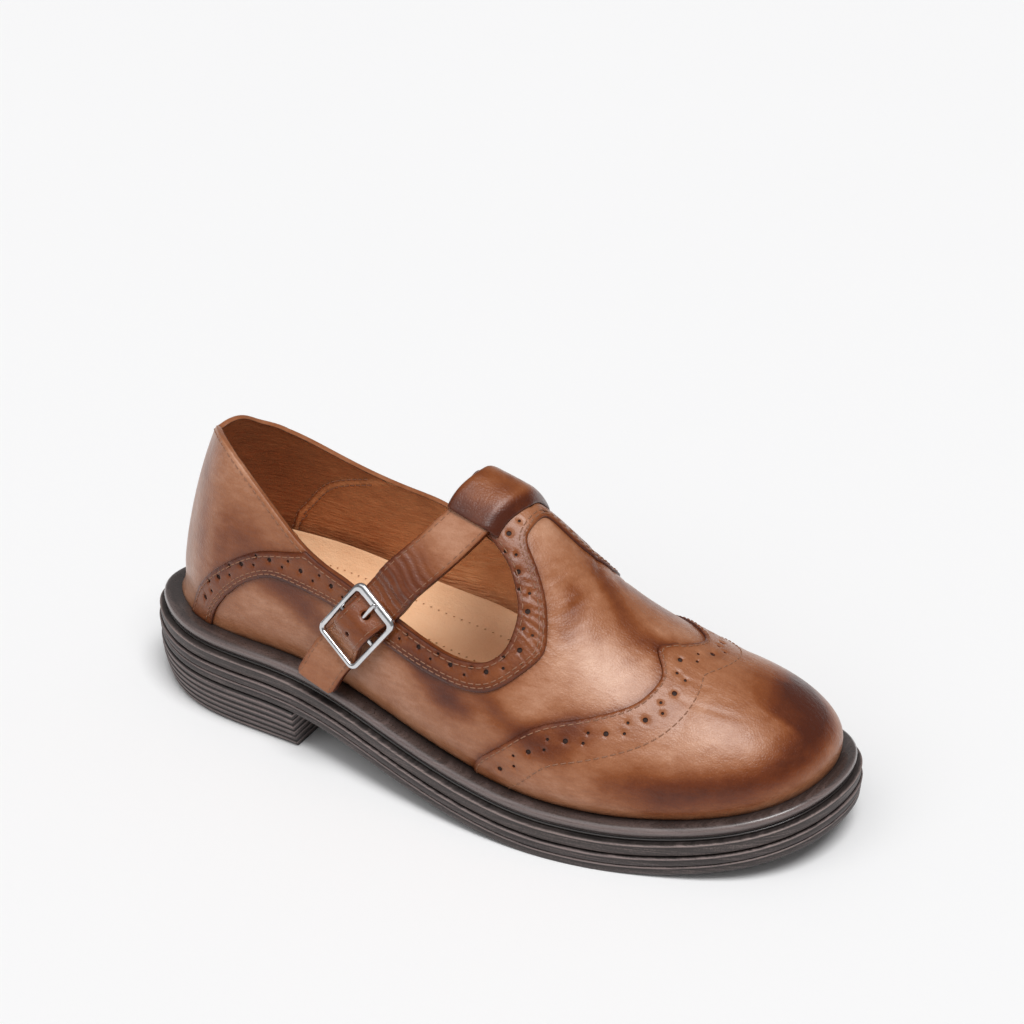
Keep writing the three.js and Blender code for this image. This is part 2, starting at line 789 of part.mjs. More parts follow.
// Flat band swept along a centre line, with its own normal and width at each point
function ribbon(centres, normals, widths, thickness) {
  const rings = centres.map((centre, i) => {
    const before = centres[Math.max(i - 1, 0)];
    const after = centres[Math.min(i + 1, centres.length - 1)];
    const tangent = after.clone().sub(before).normalize();
    const across = tangent.clone().cross(normals[i]).normalize();
    const out = across.clone().cross(tangent).normalize();
    const half = widths[i] / 2;
    const edge = 0.35 * thickness;
    const corners = [[-half, -edge], [-half + edge / 2, -thickness / 2], [half - edge / 2, -thickness / 2], [half, -edge],
      [half, edge], [half - edge / 2, thickness / 2], [-half + edge / 2, thickness / 2], [-half, edge]];
    return corners.map(([w, h]) => centre.clone().addScaledVector(across, w).addScaledVector(out, h).toArray());
  });
  return bodyOfRings(rings);
}

// Buckle frame: a point by distances across, down the strap and out from the buckle's middle plane
const buckleAcross = buckleDown.clone().cross(buckleOut).normalize();
const strapFit = strapWidth + 2 * gap;
const buckleWidth = strapFit + 2 * buckleWire;

function buckleBasis() {
  return new THREE.Matrix4().makeBasis(buckleAcross, buckleDown, buckleOut).setPosition(buckleCentre);
}

function buckleFrame(across, down, out) {
  return new THREE.Vector3(across, down, out).applyMatrix4(buckleBasis());
}

// Course of the strap through the buckle: distance down as a share of the buckle's length, and height
// over the wire's middle plane
const under = -(buckleWire / 2 + 1.5 * gap + strapThickness / 2);
const overBar = buckleWire / 2 + gap + strapThickness / 2;
const buckleCourse = [
  { down: -0.95, out: under + 0.6 },
  { down: -0.70, out: under },
  { down: -0.50, out: under },
  { down: -0.30, out: 0.35 * under },
  { down: -0.13, out: 0.85 * overBar },
  { down: 0.00, out: overBar },
  { down: 0.13, out: 0.85 * overBar },
  { down: 0.30, out: 0.35 * under },
  { down: 0.50, out: under },
  { down: 0.70, out: under },
  { down: 0.96, out: under - 0.4, across: -0.05 },
  { down: 1.24, out: under - 0.8, across: -0.13 },
];

const strapSteps = 40;

function strapLine() {
  const skinLift = gap + strapThickness / 2 + overlayStep + strapEase;
  const centres = overCourse.map(({ along, side }) => overSkin(along, side, skinLift));
  const normals = overCourse.map(({ along, side }) => skinNormal(along, side));
  for (const { down, out, across = 0 } of buckleCourse) {
    centres.push(buckleFrame(across * strapWidth, down * buckleLength, out));
    normals.push(buckleOut.clone());
  }
  const tables = ['x', 'y', 'z'].map((axis) => ({
    centre: controlsOf(centres.map((p) => p[axis]), false),
    normal: controlsOf(normals.map((p) => p[axis]), false),
  }));
  const read = (key, t) => new THREE.Vector3(...tables.map((table) => splineAt(table[key], t, false)));
  const line = { centres: [], normals: [], widths: [] };
  const flareEnd = overCourse.length / (centres.length - 1);
  for (let i = 0; i <= strapSteps; i++) {
    const t = i / strapSteps;
    line.centres.push(read('centre', t));
    line.normals.push(read('normal', t).normalize());
    line.widths.push(strapWidth + strapFlare * (1 - smoothStep(t, 0.6 * flareEnd, flareEnd)));
  }
  return line;
}

function rodBetween(from, to, thickness, sides = 10) {
  const curve = new THREE.LineCurve3(from, to);
  const shape = new THREE.Shape();
  shape.absarc(0, 0, thickness / 2, 0, 2 * Math.PI, false);
  return new THREE.ExtrudeGeometry(shape, { steps: 1, bevelEnabled: false, extrudePath: curve, curveSegments: sides });
}

const holeClearance = 0.5;
const prongRise = 1.6 * gap + prongThickness / 2 + buckleWire / 2;

function prongEnds() {
  const root = buckleWire / 2 + prongThickness / 2 + 1.4 * gap;
  return [buckleFrame(0, -root, 0.4 * buckleWire), buckleFrame(0, -0.53 * buckleLength, prongRise)];
}

function makeStrap() {
  const { centres, normals, widths } = strapLine();
  const band = solidOf(ribbon(centres, normals, widths, strapThickness));
  const [root, tip] = prongEnds();
  const inward = root.clone().sub(tip).normalize();
  const hole = rodBetween(tip, root.clone().addScaledVector(inward, 6), prongThickness + 2 * holeClearance);
  return geometryFrom(band.subtract(solidOf(hole)));
}

// Rounded-square wire frame with a bar across its middle
function makeBuckle() {
  const [w, h] = [(buckleWidth - buckleWire) / 2, (buckleLength - buckleWire) / 2];
  const corners = [[w, h, 0], [-w, h, 1], [-w, -h, 2], [w, -h, 3]];
  const points = [];
  for (const [cx, cy, quarter] of corners) {
    for (let k = 0; k <= 4; k++) {
      const angle = (quarter + k / 4) * Math.PI / 2;
      const [mx, my] = [cx - Math.sign(cx) * buckleCorner, cy - Math.sign(cy) * buckleCorner];
      points.push([mx + buckleCorner * Math.cos(angle), my + buckleCorner * Math.sin(angle)]);
    }
  }
  const rings = points.map(([x, y], i) => {
    const [ax, ay] = points[(i + points.length - 1) % points.length];
    const [bx, by] = points[(i + 1) % points.length];
    const size = Math.hypot(bx - ax, by - ay);
    const [nx, ny] = [(by - ay) / size, -(bx - ax) / size];
    const ring = [];
    for (let k = 0; k < 8; k++) {
      const turn = (k * Math.PI) / 4;
      const reach = (buckleWire / 2) * Math.cos(turn);
      ring.push([x + nx * reach, y + ny * reach, (buckleWire / 2) * Math.sin(turn)]);
    }
    return ring;
  });
  const frame = solidOf(bodyOfRings(rings, true));
  const bar = solidOf(rodBetween(new THREE.Vector3(-w, 0, 0), new THREE.Vector3(w, 0, 0), 0.8 * buckleWire, 8));
  const geometry = geometryFrom(frame.add(bar));
  return geometry.applyMatrix4(buckleBasis());
}

function makeProng() {
  const [root, tip] = prongEnds();
  return rodBetween(root, tip, prongThickness, 8);
}

// Folded loop at the end of the T-bar, round the strap: rows of its side profile, along the ridge and
// off the skin
const tabColumns = 10;

function makeTab() {
  const leaf = tabThickness / soleLength;
  const back = loopCentre - loopHalf;
  const front = loopCentre + loopHalf;
  const low = gap + overlayStep;
  const rise = low + strapThickness + 2 * strapEase + 2 * gap;
  const under = -upperWall - gap;
  const profile = [
    [front + 1.5 * leaf, low],
    [front + 0.7 * leaf, low],
    [front - 0.1 * leaf, rise],
    [back + 0.2 * leaf, rise],
    [back, 0.7 * rise],
    [back, under],
    [back - leaf, under],
    [back - 1.05 * leaf, 0.6 * rise],
    [back - 0.6 * leaf, rise + 0.75 * tabThickness],
    [back + 0.3 * leaf, rise + tabThickness],
    [front, rise + tabThickness],
    [front + 0.9 * leaf, low + tabThickness],
    [front + 1.5 * leaf, low + 0.7 * tabThickness],
  ];
  const rings = [];
  for (let k = 0; k <= tabColumns; k++) {
    const side = tabSpan * (k / tabColumns - 0.5);
    rings.push(profile.map(([along, lift]) => overSkin(along, side, lift).toArray()));
  }
  return loopBody(rings);
}

// A body of rings whose end faces are concave outlines, closed by triangulated caps
function loopBody(rings) {
  const n = rings[0].length;
  const vertices = rings.flat(2);
  const faces = [];
  for (let j = 0; j < rings.length - 1; j++) {
    for (let i = 0; i < n; i++) {
      const k = (i + 1) % n;
      const [low, high] = [j * n, (j + 1) * n];
      faces.push([low + i, low + k, high + k], [low + i, high + k, high + i]);
    }
  }
  for (const [base, flip] of [[0, true], [(rings.length - 1) * n, false]]) {
    const ring = rings[base / n];
    const flat = ring.map(([x, , z]) => new THREE.Vector2(x, z));
    const turned = THREE.ShapeUtils.area(flat) < 0;
    for (const [a, b, c] of THREE.ShapeUtils.triangulateShape(flat, [])) {
      faces.push(flip === turned ? [base + a, base + b, base + c] : [base + a, base + c, base + b]);
    }
  }
  return geometryOf(vertices, faces.flat());
}

// Materials
const burnishedLeather = new THREE.MeshStandardMaterial({ color: 0x8a5236, roughness: 0.42, metalness: 0 });
const darkLeather = new THREE.MeshStandardMaterial({ color: 0x6d3a26, roughness: 0.42, metalness: 0 });
const insoleLeather = new THREE.MeshStandardMaterial({ color: 0xc98f5f, roughness: 0.7, metalness: 0 });
const rubber = new THREE.MeshStandardMaterial({ color: 0x3b3433, roughness: 0.6, metalness: 0 });
const steel = new THREE.MeshStandardMaterial({ color: 0xcfcfd2, roughness: 0.18, metalness: 1 });

const shoe = new THREE.Group();

function place(name, geometry, material) {
  const mesh = new THREE.Mesh(geometry, material);
  mesh.name = name;
  shoe.add(mesh);
}

place('outsole', makeOutsole(), rubber);
place('midsole', makeMidsole(), rubber);
place('welt', makeWelt(), rubber);
place('heel', makeHeel(), rubber);
place('upper', makeUpper(), burnishedLeather);
place('insole', makeInsole(), insoleLeather);
place('strap', makeStrap(), burnishedLeather);
place('tab', makeTab(), darkLeather);
place('buckle', makeBuckle(), steel);
place('prong', makeProng(), steel);

// The origin is the middle of the outline's box, on the ground
const lateralEdge = Math.min(...soleTurns(soleSteps).map((turn) => outlineAt(turn, 0)[1]));
const medialEdge = Math.max(...soleTurns(soleSteps).map((turn) => outlineAt(turn, 0)[1]));
shoe.position.set(-soleLength / 2, -(lateralEdge + medialEdge) / 2, 0);

const part = new THREE.Group();
part.add(shoe);

export default part;
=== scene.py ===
import math

import bpy
import numpy as np
from mathutils import Matrix, kdtree
from mathutils.geometry import delaunay_2d_cdt


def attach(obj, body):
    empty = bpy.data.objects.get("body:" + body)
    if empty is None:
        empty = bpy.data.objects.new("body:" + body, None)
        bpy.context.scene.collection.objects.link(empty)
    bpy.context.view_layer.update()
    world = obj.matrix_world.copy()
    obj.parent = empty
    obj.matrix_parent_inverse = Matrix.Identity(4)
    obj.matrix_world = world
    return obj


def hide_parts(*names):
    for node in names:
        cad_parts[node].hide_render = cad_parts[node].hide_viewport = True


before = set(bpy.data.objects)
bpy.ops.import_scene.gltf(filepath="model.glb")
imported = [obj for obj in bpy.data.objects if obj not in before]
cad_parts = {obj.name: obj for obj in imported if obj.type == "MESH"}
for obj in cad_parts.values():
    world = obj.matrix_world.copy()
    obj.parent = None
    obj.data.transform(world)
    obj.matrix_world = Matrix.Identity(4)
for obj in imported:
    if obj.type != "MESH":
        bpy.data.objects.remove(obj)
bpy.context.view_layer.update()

MM = 0.001

# Driving sizes of the sole and the last, in millimetres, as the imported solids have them
SOLE_LENGTH = 272.0
BALL_WIDTH = 103.0
HEEL_HEIGHT = 33.5
SOLE_THICKNESS = 17.3
TOE_SPRING = 12.0
HEEL_BREAST = 78.0
WELT_THICKNESS = 5.0
MIDSOLE_THICKNESS = 4.9
BEAD_INSET = 3.7
HEEL_TAPER = 3.0
FEATHER_INSET = 9.0
INSTEP_HEIGHT = 113.0
UPPER_WALL = 2.2
OVERLAY_STEP = 0.9
INSOLE_THICKNESS = 5.0
INSOLE_EASE = 2.4
INSOLE_CUP = 5.0
INSOLE_ARCH = 8.0
INSOLE_ROUND = 0.8
GAP = 0.3

# Outline of the sole: share of the length from the heel, share of the ball width from the axis
SOLE_OUTLINE = [
    (0.000, 0.005), (0.037, -0.181), (0.136, -0.325), (0.294, -0.369), (0.441, -0.447),
    (0.588, -0.513), (0.717, -0.510), (0.827, -0.439), (0.919, -0.332), (0.978, -0.170),
    (1.000, 0.047), (0.978, 0.255), (0.912, 0.402), (0.827, 0.466), (0.735, 0.485),
    (0.607, 0.424), (0.460, 0.333), (0.294, 0.320), (0.136, 0.340), (0.037, 0.223),
]

# Sections of the last from the heel pole to the toe pole: ridge (share of the instep height),
# centre (of the ball width), bulge and rise (of the feather inset), lift, reach
LAST_SECTIONS = [
    (1.075, 0.000, 0.06, 1.11, 0.31, 0.600),
    (1.080, -0.005, 0.17, 1.22, 0.35, 0.550),
    (1.075, -0.010, 0.22, 1.28, 0.37, 0.450),
    (1.035, -0.015, 0.28, 1.28, 0.38, 0.370),
    (0.952, -0.020, 0.33, 1.22, 0.40, 0.350),
    (0.881, -0.024, 0.33, 1.11, 0.42, 0.360),
    (0.712, -0.020, 0.33, 0.89, 0.44, 0.400),
    (0.580, -0.010, 0.33, 0.78, 0.48, 0.410),
    (0.499, 0.010, 0.24, 0.61, 0.50, 0.455),
]
HEEL_BACK = (-0.22, 0.89, 0.18, 0.50)
TOE_TIP = (0.07, 0.50, 0.44, 0.39)
HEEL_POLE = 0.165 * SOLE_LENGTH
TOE_POLE = 0.815 * SOLE_LENGTH
BULGE_SHARE = 0.15
ARCH_BACK, ARCH_FRONT, SPRING_FROM, TREAD_FLAT = 0.22, 0.69, 0.735, 0.4


def closed_controls(values):
    n = len(values)
    c = list(values)
    for _ in range(60):
        for i in range(n):
            c[i] = (6 * values[i] - c[i - 1] - c[(i + 1) % n]) / 4
    return np.array(c)


def open_controls(values):
    n = len(values)
    c = list(values)
    for _ in range(60):
        for i in range(1, n - 1):
            c[i] = (6 * values[i] - c[i - 1] - c[i + 1]) / 4
    return np.array([2 * c[0] - c[1], *c, 2 * c[-1] - c[-2]])


def spline_sum(c, i, f, wrap):
    g = 1 - f
    weights = (g**3 / 6, (3 * f**3 - 6 * f * f + 4) / 6, (3 * g**3 - 6 * g * g + 4) / 6, f**3 / 6)
    return sum(w * c[(i + k - 1) % len(c) if wrap else i + k] for k, w in enumerate(weights))


def read_closed(c, t):
    place = np.mod(t, 1.0) * len(c)
    i = np.minimum(place.astype(int), len(c) - 1)
    return spline_sum(c, i, place - i, True)


def read_open(c, t):
    steps = len(c) - 3
    place = np.clip(t, 0, 1) * steps
    i = np.minimum(place.astype(int), steps - 1)
    return spline_sum(c, i, place - i, False)


def smooth_step(value, start, end):
    t = np.clip((value - start) / (end - start), 0, 1)
    return t * t * (3 - 2 * t)


def smooth_line(points, count=0):
    """A spline through points, read at even steps: eight to a point where no count is given."""
    points = np.asarray(points, float)
    t = np.linspace(0, 1, count or 8 * len(points) - 7)
    return np.stack([read_open(open_controls(column), t) for column in points.T], -1)


def arc_of(points):
    """Distance along a line at each of its points."""
    return np.concatenate([[0], np.cumsum(np.linalg.norm(np.diff(points, axis=0), axis=1))])


def read_rows(at, arc, rows):
    """A table of rows read between them, at distances along a line."""
    return np.stack([np.interp(at, arc, column) for column in np.transpose(rows)], -1)


def swell(value, middle, width):
    """A smooth rise to one round a middle."""
    return np.exp(-(((value - middle) / width) ** 2))


def unit(vector):
    vector = np.asarray(vector, float)
    return vector / np.linalg.norm(vector, axis=-1, keepdims=True)


def circle(radius, count):
    turn = 2 * math.pi * np.arange(count) / count
    return radius * np.stack([np.cos(turn), np.sin(turn)], -1)


OUTLINE_X = closed_controls([a * SOLE_LENGTH for a, _ in SOLE_OUTLINE])
OUTLINE_Y = closed_controls([b * BALL_WIDTH for _, b in SOLE_OUTLINE])


def outline_at(turn, inset):
    turn = np.asarray(turn, float)
    tiny = 1e-4
    x, y = read_closed(OUTLINE_X, turn), read_closed(OUTLINE_Y, turn)
    dx = read_closed(OUTLINE_X, turn + tiny) - read_closed(OUTLINE_X, turn - tiny)
    dy = read_closed(OUTLINE_Y, turn + tiny) - read_closed(OUTLINE_Y, turn - tiny)
    size = np.hypot(dx, dy)
    return np.stack([x - dy / size * inset, y + dx / size * inset], -1)


def welt_top(x):
    along = np.asarray(x, float) / SOLE_LENGTH
    spring = np.maximum(0, (along - SPRING_FROM) / (1 - SPRING_FROM))
    fore = SOLE_THICKNESS - TREAD_FLAT
    step = smooth_step(along, ARCH_BACK, ARCH_FRONT)
    return HEEL_HEIGHT + (fore - HEEL_HEIGHT) * step + TOE_SPRING * spring**2


def sole_bottom(x):
    return np.maximum(0, welt_top(x) - SOLE_THICKNESS)


RIDGE = [open_controls([row[k] for row in LAST_SECTIONS]) for k in range(6)]
FEATHER = outline_at(np.arange(1440) / 1440, FEATHER_INSET)


def ridge_column(k, x):
    return read_open(RIDGE[k], np.asarray((x - HEEL_POLE) / (TOE_POLE - HEEL_POLE)))


def ridge_slope(x):
    return float(ridge_column(0, x + 0.5) - ridge_column(0, x - 0.5)) * INSTEP_HEIGHT


def feather_reach(origin, direction):
    a = FEATHER - origin
    b = np.roll(a, -1, 0)
    side_a = a[:, 0] * direction[1] - a[:, 1] * direction[0]
    side_b = b[:, 0] * direction[1] - b[:, 1] * direction[0]
    hit = (side_a <= 0) != (side_b <= 0)
    f = side_a[hit] / (side_a[hit] - side_b[hit])
    return float(((a[hit] + (b[hit] - a[hit]) * f[:, None]) @ direction).max())


SECTION_SAMPLES = 240


def section_points(x, angle):
    """Points of one section, from the ridge down to the feather edge."""
    centre = float(ridge_column(1, x)) * BALL_WIDTH
    direction = np.array([math.cos(angle), math.sin(angle)])
    reach = feather_reach(np.array([x, centre]), direction)
    foot = float(welt_top(x + direction[0] * reach)) + 1.5 * GAP
    end = TOE_TIP if direction[0] > 0 else HEEL_BACK
    turn = direction[0] ** 2
    bulge, rise, lift, handle = [
        float(ridge_column(k + 2, x)) * (1 - turn) + end[k] * turn for k in range(4)]
    ridge = float(ridge_column(0, x)) * INSTEP_HEIGHT
    slope = ridge_slope(x) * direction[0]
    wide = reach + bulge * FEATHER_INSET
    high = foot + rise * FEATHER_INSET
    handle *= wide
    share = np.linspace(1, 0, SECTION_SAMPLES)[:, None]
    t = np.clip((share - BULGE_SHARE) / (1 - BULGE_SHARE), 0, 1)
    body = ((1 - t) ** 3 * [wide, high] + 3 * t * (1 - t) ** 2 * [wide, high + lift * (ridge - high)]
            + 3 * t * t * (1 - t) * [handle, ridge + slope * handle] + t**3 * [0, ridge])
    t = np.clip(share / BULGE_SHARE, 0, 1)
    low = ((1 - t) ** 2 * [reach, foot] + 2 * t * (1 - t) * [wide, high - 0.6 * (high - foot)]
           + t * t * [wide, high])
    rz = np.where(share < BULGE_SHARE, low, body)
    return np.stack([x + direction[0] * rz[:, 0], centre + direction[1] * rz[:, 0], rz[:, 1]], -1)


# The skin of the last as a table: stations round the shoe by steps down from the ridge
SIDE_STEPS, TOE_STEPS, HEEL_STEPS, DOWN_STEPS = 220, 90, 80, 160
CORNERS = np.cumsum([0, SIDE_STEPS, TOE_STEPS, SIDE_STEPS, HEEL_STEPS])
STATIONS = int(CORNERS[-1])


def pole_and_turn(station):
    """Where a station's section stands on the ridge, and the way it faces."""
    pole = np.interp(station, CORNERS, [HEEL_POLE, TOE_POLE, TOE_POLE, HEEL_POLE, HEEL_POLE])
    return pole, np.interp(station, CORNERS, [-0.5, -0.5, 0.5, 0.5, 1.5]) * math.pi


def skin_table():
    rows, lengths, ridge_normals = [], [], []
    for x, angle in zip(*pole_and_turn(np.arange(STATIONS))):
        points = section_points(x, angle)
        arc = arc_of(points)
        rows.append(read_rows(np.linspace(0, arc[-1], DOWN_STEPS + 1), arc, points))
        lengths.append(arc[-1])
        ridge_normals.append([-ridge_slope(x), 0, 1])
    table = np.array(rows)
    along = np.roll(table, -1, 0) - np.roll(table, 1, 0)
    normals = np.cross(np.gradient(table, axis=1), along)
    normals[:, 0] = ridge_normals
    return table, unit(normals), np.array(lengths)


SKIN, SKIN_NORMALS, SKIN_LENGTHS = skin_table()


def locate(flat):
    """Station and distance down from the ridge for points of the skin laid flat."""
    x, y = np.asarray(flat, float).T
    pole = np.clip(x, HEEL_POLE, TOE_POLE)
    turn = np.arctan2(y, x - pole) / math.pi
    run = (pole - HEEL_POLE) / (TOE_POLE - HEEL_POLE) * SIDE_STEPS
    side = np.where(y < 0, run, CORNERS[3] - run)
    toe = CORNERS[1] + (turn + 0.5) * TOE_STEPS
    heel = CORNERS[3] + np.mod(turn - 0.5, 2) * HEEL_STEPS
    station = np.where(x > TOE_POLE, toe, np.where(x < HEEL_POLE, heel, side))
    return np.mod(station, STATIONS), np.hypot(x - pole, y)


def flat_at(station, down):
    """Places laid flat, from stations and distances down from the ridge."""
    pole, turn = pole_and_turn(station)
    return np.stack([pole + down * np.cos(turn), down * np.sin(turn)], -1)


def read_table(table, station, step=None):
    i = np.floor(station).astype(int) % STATIONS
    k = (i + 1) % STATIONS
    f = station - np.floor(station)
    if step is None:
        return table[i] * (1 - f) + table[k] * f
    f = f[:, None]
    j = np.clip(np.floor(step).astype(int), 0, DOWN_STEPS - 1)
    g = (step - j)[:, None]
    return ((table[i, j] * (1 - g) + table[i, j + 1] * g) * (1 - f)
            + (table[k, j] * (1 - g) + table[k, j + 1] * g) * f)


def skin_at(flat):
    """Points and normals of the skin; a place past the feather edge runs on along the last step."""
    station, down = locate(flat)
    step = down / read_table(SKIN_LENGTHS, station) * DOWN_STEPS
    normals = read_table(SKIN_NORMALS, station, np.minimum(step, DOWN_STEPS))
    return read_table(SKIN, station, step), unit(normals)


def feather_flat(count, past=0.0):
    """The feather edge laid flat, at even stations."""
    station = np.arange(count) * STATIONS / count
    return flat_at(station, read_table(SKIN_LENGTHS, station) + past)


GRID_STATION, GRID_STEP = [axis.ravel() for axis in np.meshgrid(
    np.arange(0, STATIONS, 4), np.arange(0, DOWN_STEPS + 1, 4), indexing="ij")]
GRID_SKIN = SKIN[GRID_STATION, GRID_STEP]
GRID_FLAT = flat_at(GRID_STATION, SKIN_LENGTHS[GRID_STATION] * GRID_STEP / DOWN_STEPS)
EDGE_POINTS, NEWTON_STEPS, PROBE, LONGEST_STEP, MOST_MISS = 260, 14, 0.05, 6, 0.3
LATERAL, MEDIAL = -1, 1


def edge_line(rows, side):
    """An edge line of one side, read on the middle plane along lines sloping up at 45 degrees, laid flat."""
    def seen(points):
        return np.stack([points[:, 0], points[:, 2] - side * points[:, 1]], -1)

    targets = smooth_line(np.array(rows) * [SOLE_LENGTH, INSTEP_HEIGHT], EDGE_POINTS)
    near = side * GRID_FLAT[:, 1] > -0.5
    grid = seen(GRID_SKIN[near])
    flat = np.array([GRID_FLAT[near][np.argmin(((grid - t) ** 2).sum(1))] for t in targets])
    for _ in range(NEWTON_STEPS):
        value = seen(skin_at(flat)[0])
        ax, az = ((seen(skin_at(flat + [PROBE, 0])[0]) - value) / PROBE).T
        bx, bz = ((seen(skin_at(flat + [0, PROBE])[0]) - value) / PROBE).T
        mx, mz = (targets - value).T
        det = ax * bz - az * bx
        det = np.where(abs(det) < 1e-4, 1e-4, det)
        step = np.stack([(mx * bz - mz * bx) / det, (ax * mz - az * mx) / det], -1)
        size = np.linalg.norm(step, axis=1, keepdims=True)
        flat = flat + step * np.minimum(1, LONGEST_STEP / np.maximum(size, 1e-9))
    miss = np.linalg.norm(targets - seen(skin_at(flat)[0]), axis=1)
    return even_line(flat[miss < MOST_MISS], EDGE_STEP)


# Edge lines of the upper: share of the sole length, share of the instep height
LATERAL_TOPLINE = [
    (-0.040, 1.220), (0.090, 0.906), (0.140, 0.793), (0.197, 0.656), (0.250, 0.527), (0.300, 0.423),
    (0.366, 0.345), (0.441, 0.258), (0.513, 0.183), (0.553, 0.171), (0.576, 0.188), (0.595, 0.250),
    (0.601, 0.345), (0.597, 0.447), (0.578, 0.570), (0.557, 0.640), (0.530, 0.700), (0.488, 0.775),
]
MEDIAL_TOPLINE = [
    (-0.040, 1.220), (0.090, 0.900), (0.129, 0.732), (0.182, 0.665), (0.241, 0.612), (0.302, 0.581),
    (0.363, 0.566), (0.410, 0.540), (0.455, 0.450), (0.500, 0.345), (0.545, 0.290), (0.576, 0.305),
    (0.594, 0.375), (0.600, 0.470), (0.588, 0.575), (0.563, 0.665), (0.530, 0.730), (0.488, 0.790),
]
LATERAL_CAP = [
    (0.545, -0.330), (0.573, -0.196), (0.606, -0.120), (0.639, -0.033), (0.670, 0.034), (0.703, 0.087),
    (0.744, 0.176), (0.765, 0.262), (0.772, 0.348), (0.766, 0.414), (0.752, 0.486), (0.760, 0.520),
    (0.768, 0.560),
]
MEDIAL_CAP = [
    (0.545, -0.300), (0.573, -0.150), (0.606, -0.055), (0.639, 0.025), (0.676, 0.110), (0.715, 0.195),
    (0.753, 0.296), (0.779, 0.373), (0.785, 0.440), (0.778, 0.503), (0.768, 0.560),
]
LATERAL_BAND_OUTER = [
    (0.075, 0.040), (0.094, 0.143), (0.112, 0.215), (0.146, 0.285), (0.193, 0.360), (0.238, 0.402),
    (0.285, 0.425), (0.320, 0.470),
]
MEDIAL_BAND_OUTER = [
    (0.075, 0.040), (0.094, 0.143), (0.112, 0.215), (0.146, 0.290), (0.193, 0.370), (0.238, 0.430),
    (0.285, 0.475), (0.330, 0.490), (0.380, 0.478), (0.420, 0.456), (0.470, 0.440),
]
LATERAL_BAND_INNER = [
    (0.125, 0.020), (0.142, 0.125), (0.163, 0.188), (0.193, 0.255), (0.231, 0.302), (0.262, 0.305),
    (0.323, 0.273), (0.380, 0.222), (0.441, 0.150), (0.500, 0.092), (0.560, 0.064), (0.603, 0.118),
    (0.637, 0.259), (0.640, 0.341), (0.626, 0.487), (0.600, 0.630), (0.578, 0.720),
]
MEDIAL_BAND_INNER = [
    (0.125, 0.020), (0.142, 0.125), (0.163, 0.188), (0.193, 0.255), (0.231, 0.308), (0.275, 0.343),
    (0.323, 0.355), (0.380, 0.338), (0.441, 0.288), (0.500, 0.225), (0.560, 0.180), (0.610, 0.225),
    (0.641, 0.345), (0.650, 0.470), (0.644, 0.600), (0.628, 0.710), (0.606, 0.790), (0.583, 0.850),
]
SHIFT = np.array([-SOLE_LENGTH / 2, 1.78, 0.0])
EDGE_STEP, OUTLINE_STEP = 0.8, 0.7


# Lines laid flat: spacing and offsets are true distances on the skin
def metric_at(flat, place=skin_at):
    """Squared lengths on the surface of the two flat directions, as 2 by 2 matrices."""
    tiny = 0.3
    along_x = (place(flat + [tiny, 0])[0] - place(flat - [tiny, 0])[0]) / (2 * tiny)
    along_y = (place(flat + [0, tiny])[0] - place(flat - [0, tiny])[0]) / (2 * tiny)
    jacobian = np.stack([along_x, along_y], -1)
    return np.einsum("nki,nkj->nij", jacobian, jacobian)


def even_line(points, step, closed=False):
    """A flat line with points at even distances on the skin."""
    points = np.asarray(points, float)
    if closed:
        points = np.vstack([points, points[:1]])
    arc = arc_of(skin_at(points)[0])
    count = max(2, int(round(arc[-1] / step)))
    line = read_rows(np.linspace(0, arc[-1], count + 1), arc, points)
    return line[:-1] if closed else line


def soften(line, passes, closed=False):
    for _ in range(passes):
        middle = (np.roll(line, 1, 0) + 2 * line + np.roll(line, -1, 0)) / 4
        if not closed:
            middle[0], middle[-1] = line[0], line[-1]
        line = middle
    return line


def left_steps(line, closed=False, place=skin_at):
    """Flat steps to the left of a line's run, each one millimetre long on the skin."""
    run = np.roll(line, -1, 0) - np.roll(line, 1, 0) if closed else np.gradient(line, axis=0)
    across = np.stack([-run[:, 1], run[:, 0]], -1)
    inverse = np.linalg.inv(metric_at(line, place))
    step = np.einsum("nij,nj->ni", inverse, across)
    size = np.sqrt(np.maximum(np.einsum("ni,ni->n", across, step), 1e-12))
    return step / size[:, None]


def solid_tree(points):
    tree = kdtree.KDTree(len(points))
    for k, point in enumerate(points):
        tree.insert(point, k)
    tree.balance()
    return tree


def distances_to(tree, points):
    return np.array([tree.find(point)[2] for point in points])


def offset_line(line, distance):
    """A flat line moved to its left, without the parts that fold over at tight turns."""
    moved = line + left_steps(line) * distance
    tree = solid_tree(skin_at(line)[0])
    near = distances_to(tree, skin_at(moved)[0])
    moved = moved[near > abs(distance) * 0.95]
    return soften(even_line(moved, EDGE_STEP), 4)


def inside(points, loop):
    x, y = points.T
    result = np.zeros(len(points), bool)
    for (ax, ay), (bx, by) in zip(loop, np.roll(loop, -1, 0)):
        if ay != by:
            result ^= ((ay > y) != (by > y)) & (x < (bx - ax) * (y - ay) / (by - ay) + ax)
    return result


def signed_area(loop):
    x, y = loop.T
    return 0.5 * np.sum(x * np.roll(y, -1) - np.roll(x, -1) * y)


# Outlines of the panels, laid flat
def station_of(point):
    return float(locate(np.array([point]))[0][0])


FEATHER_PAST = 0.6
FEATHER_LINE = feather_flat(STATIONS * 2, FEATHER_PAST)


def feather_between(first, last):
    """The feather edge from one station on to another."""
    last += STATIONS if last < first else 0
    start, end = int(math.ceil(first * 2)), int(math.floor(last * 2))
    return FEATHER_LINE[np.arange(start, end + 1) % len(FEATHER_LINE)]


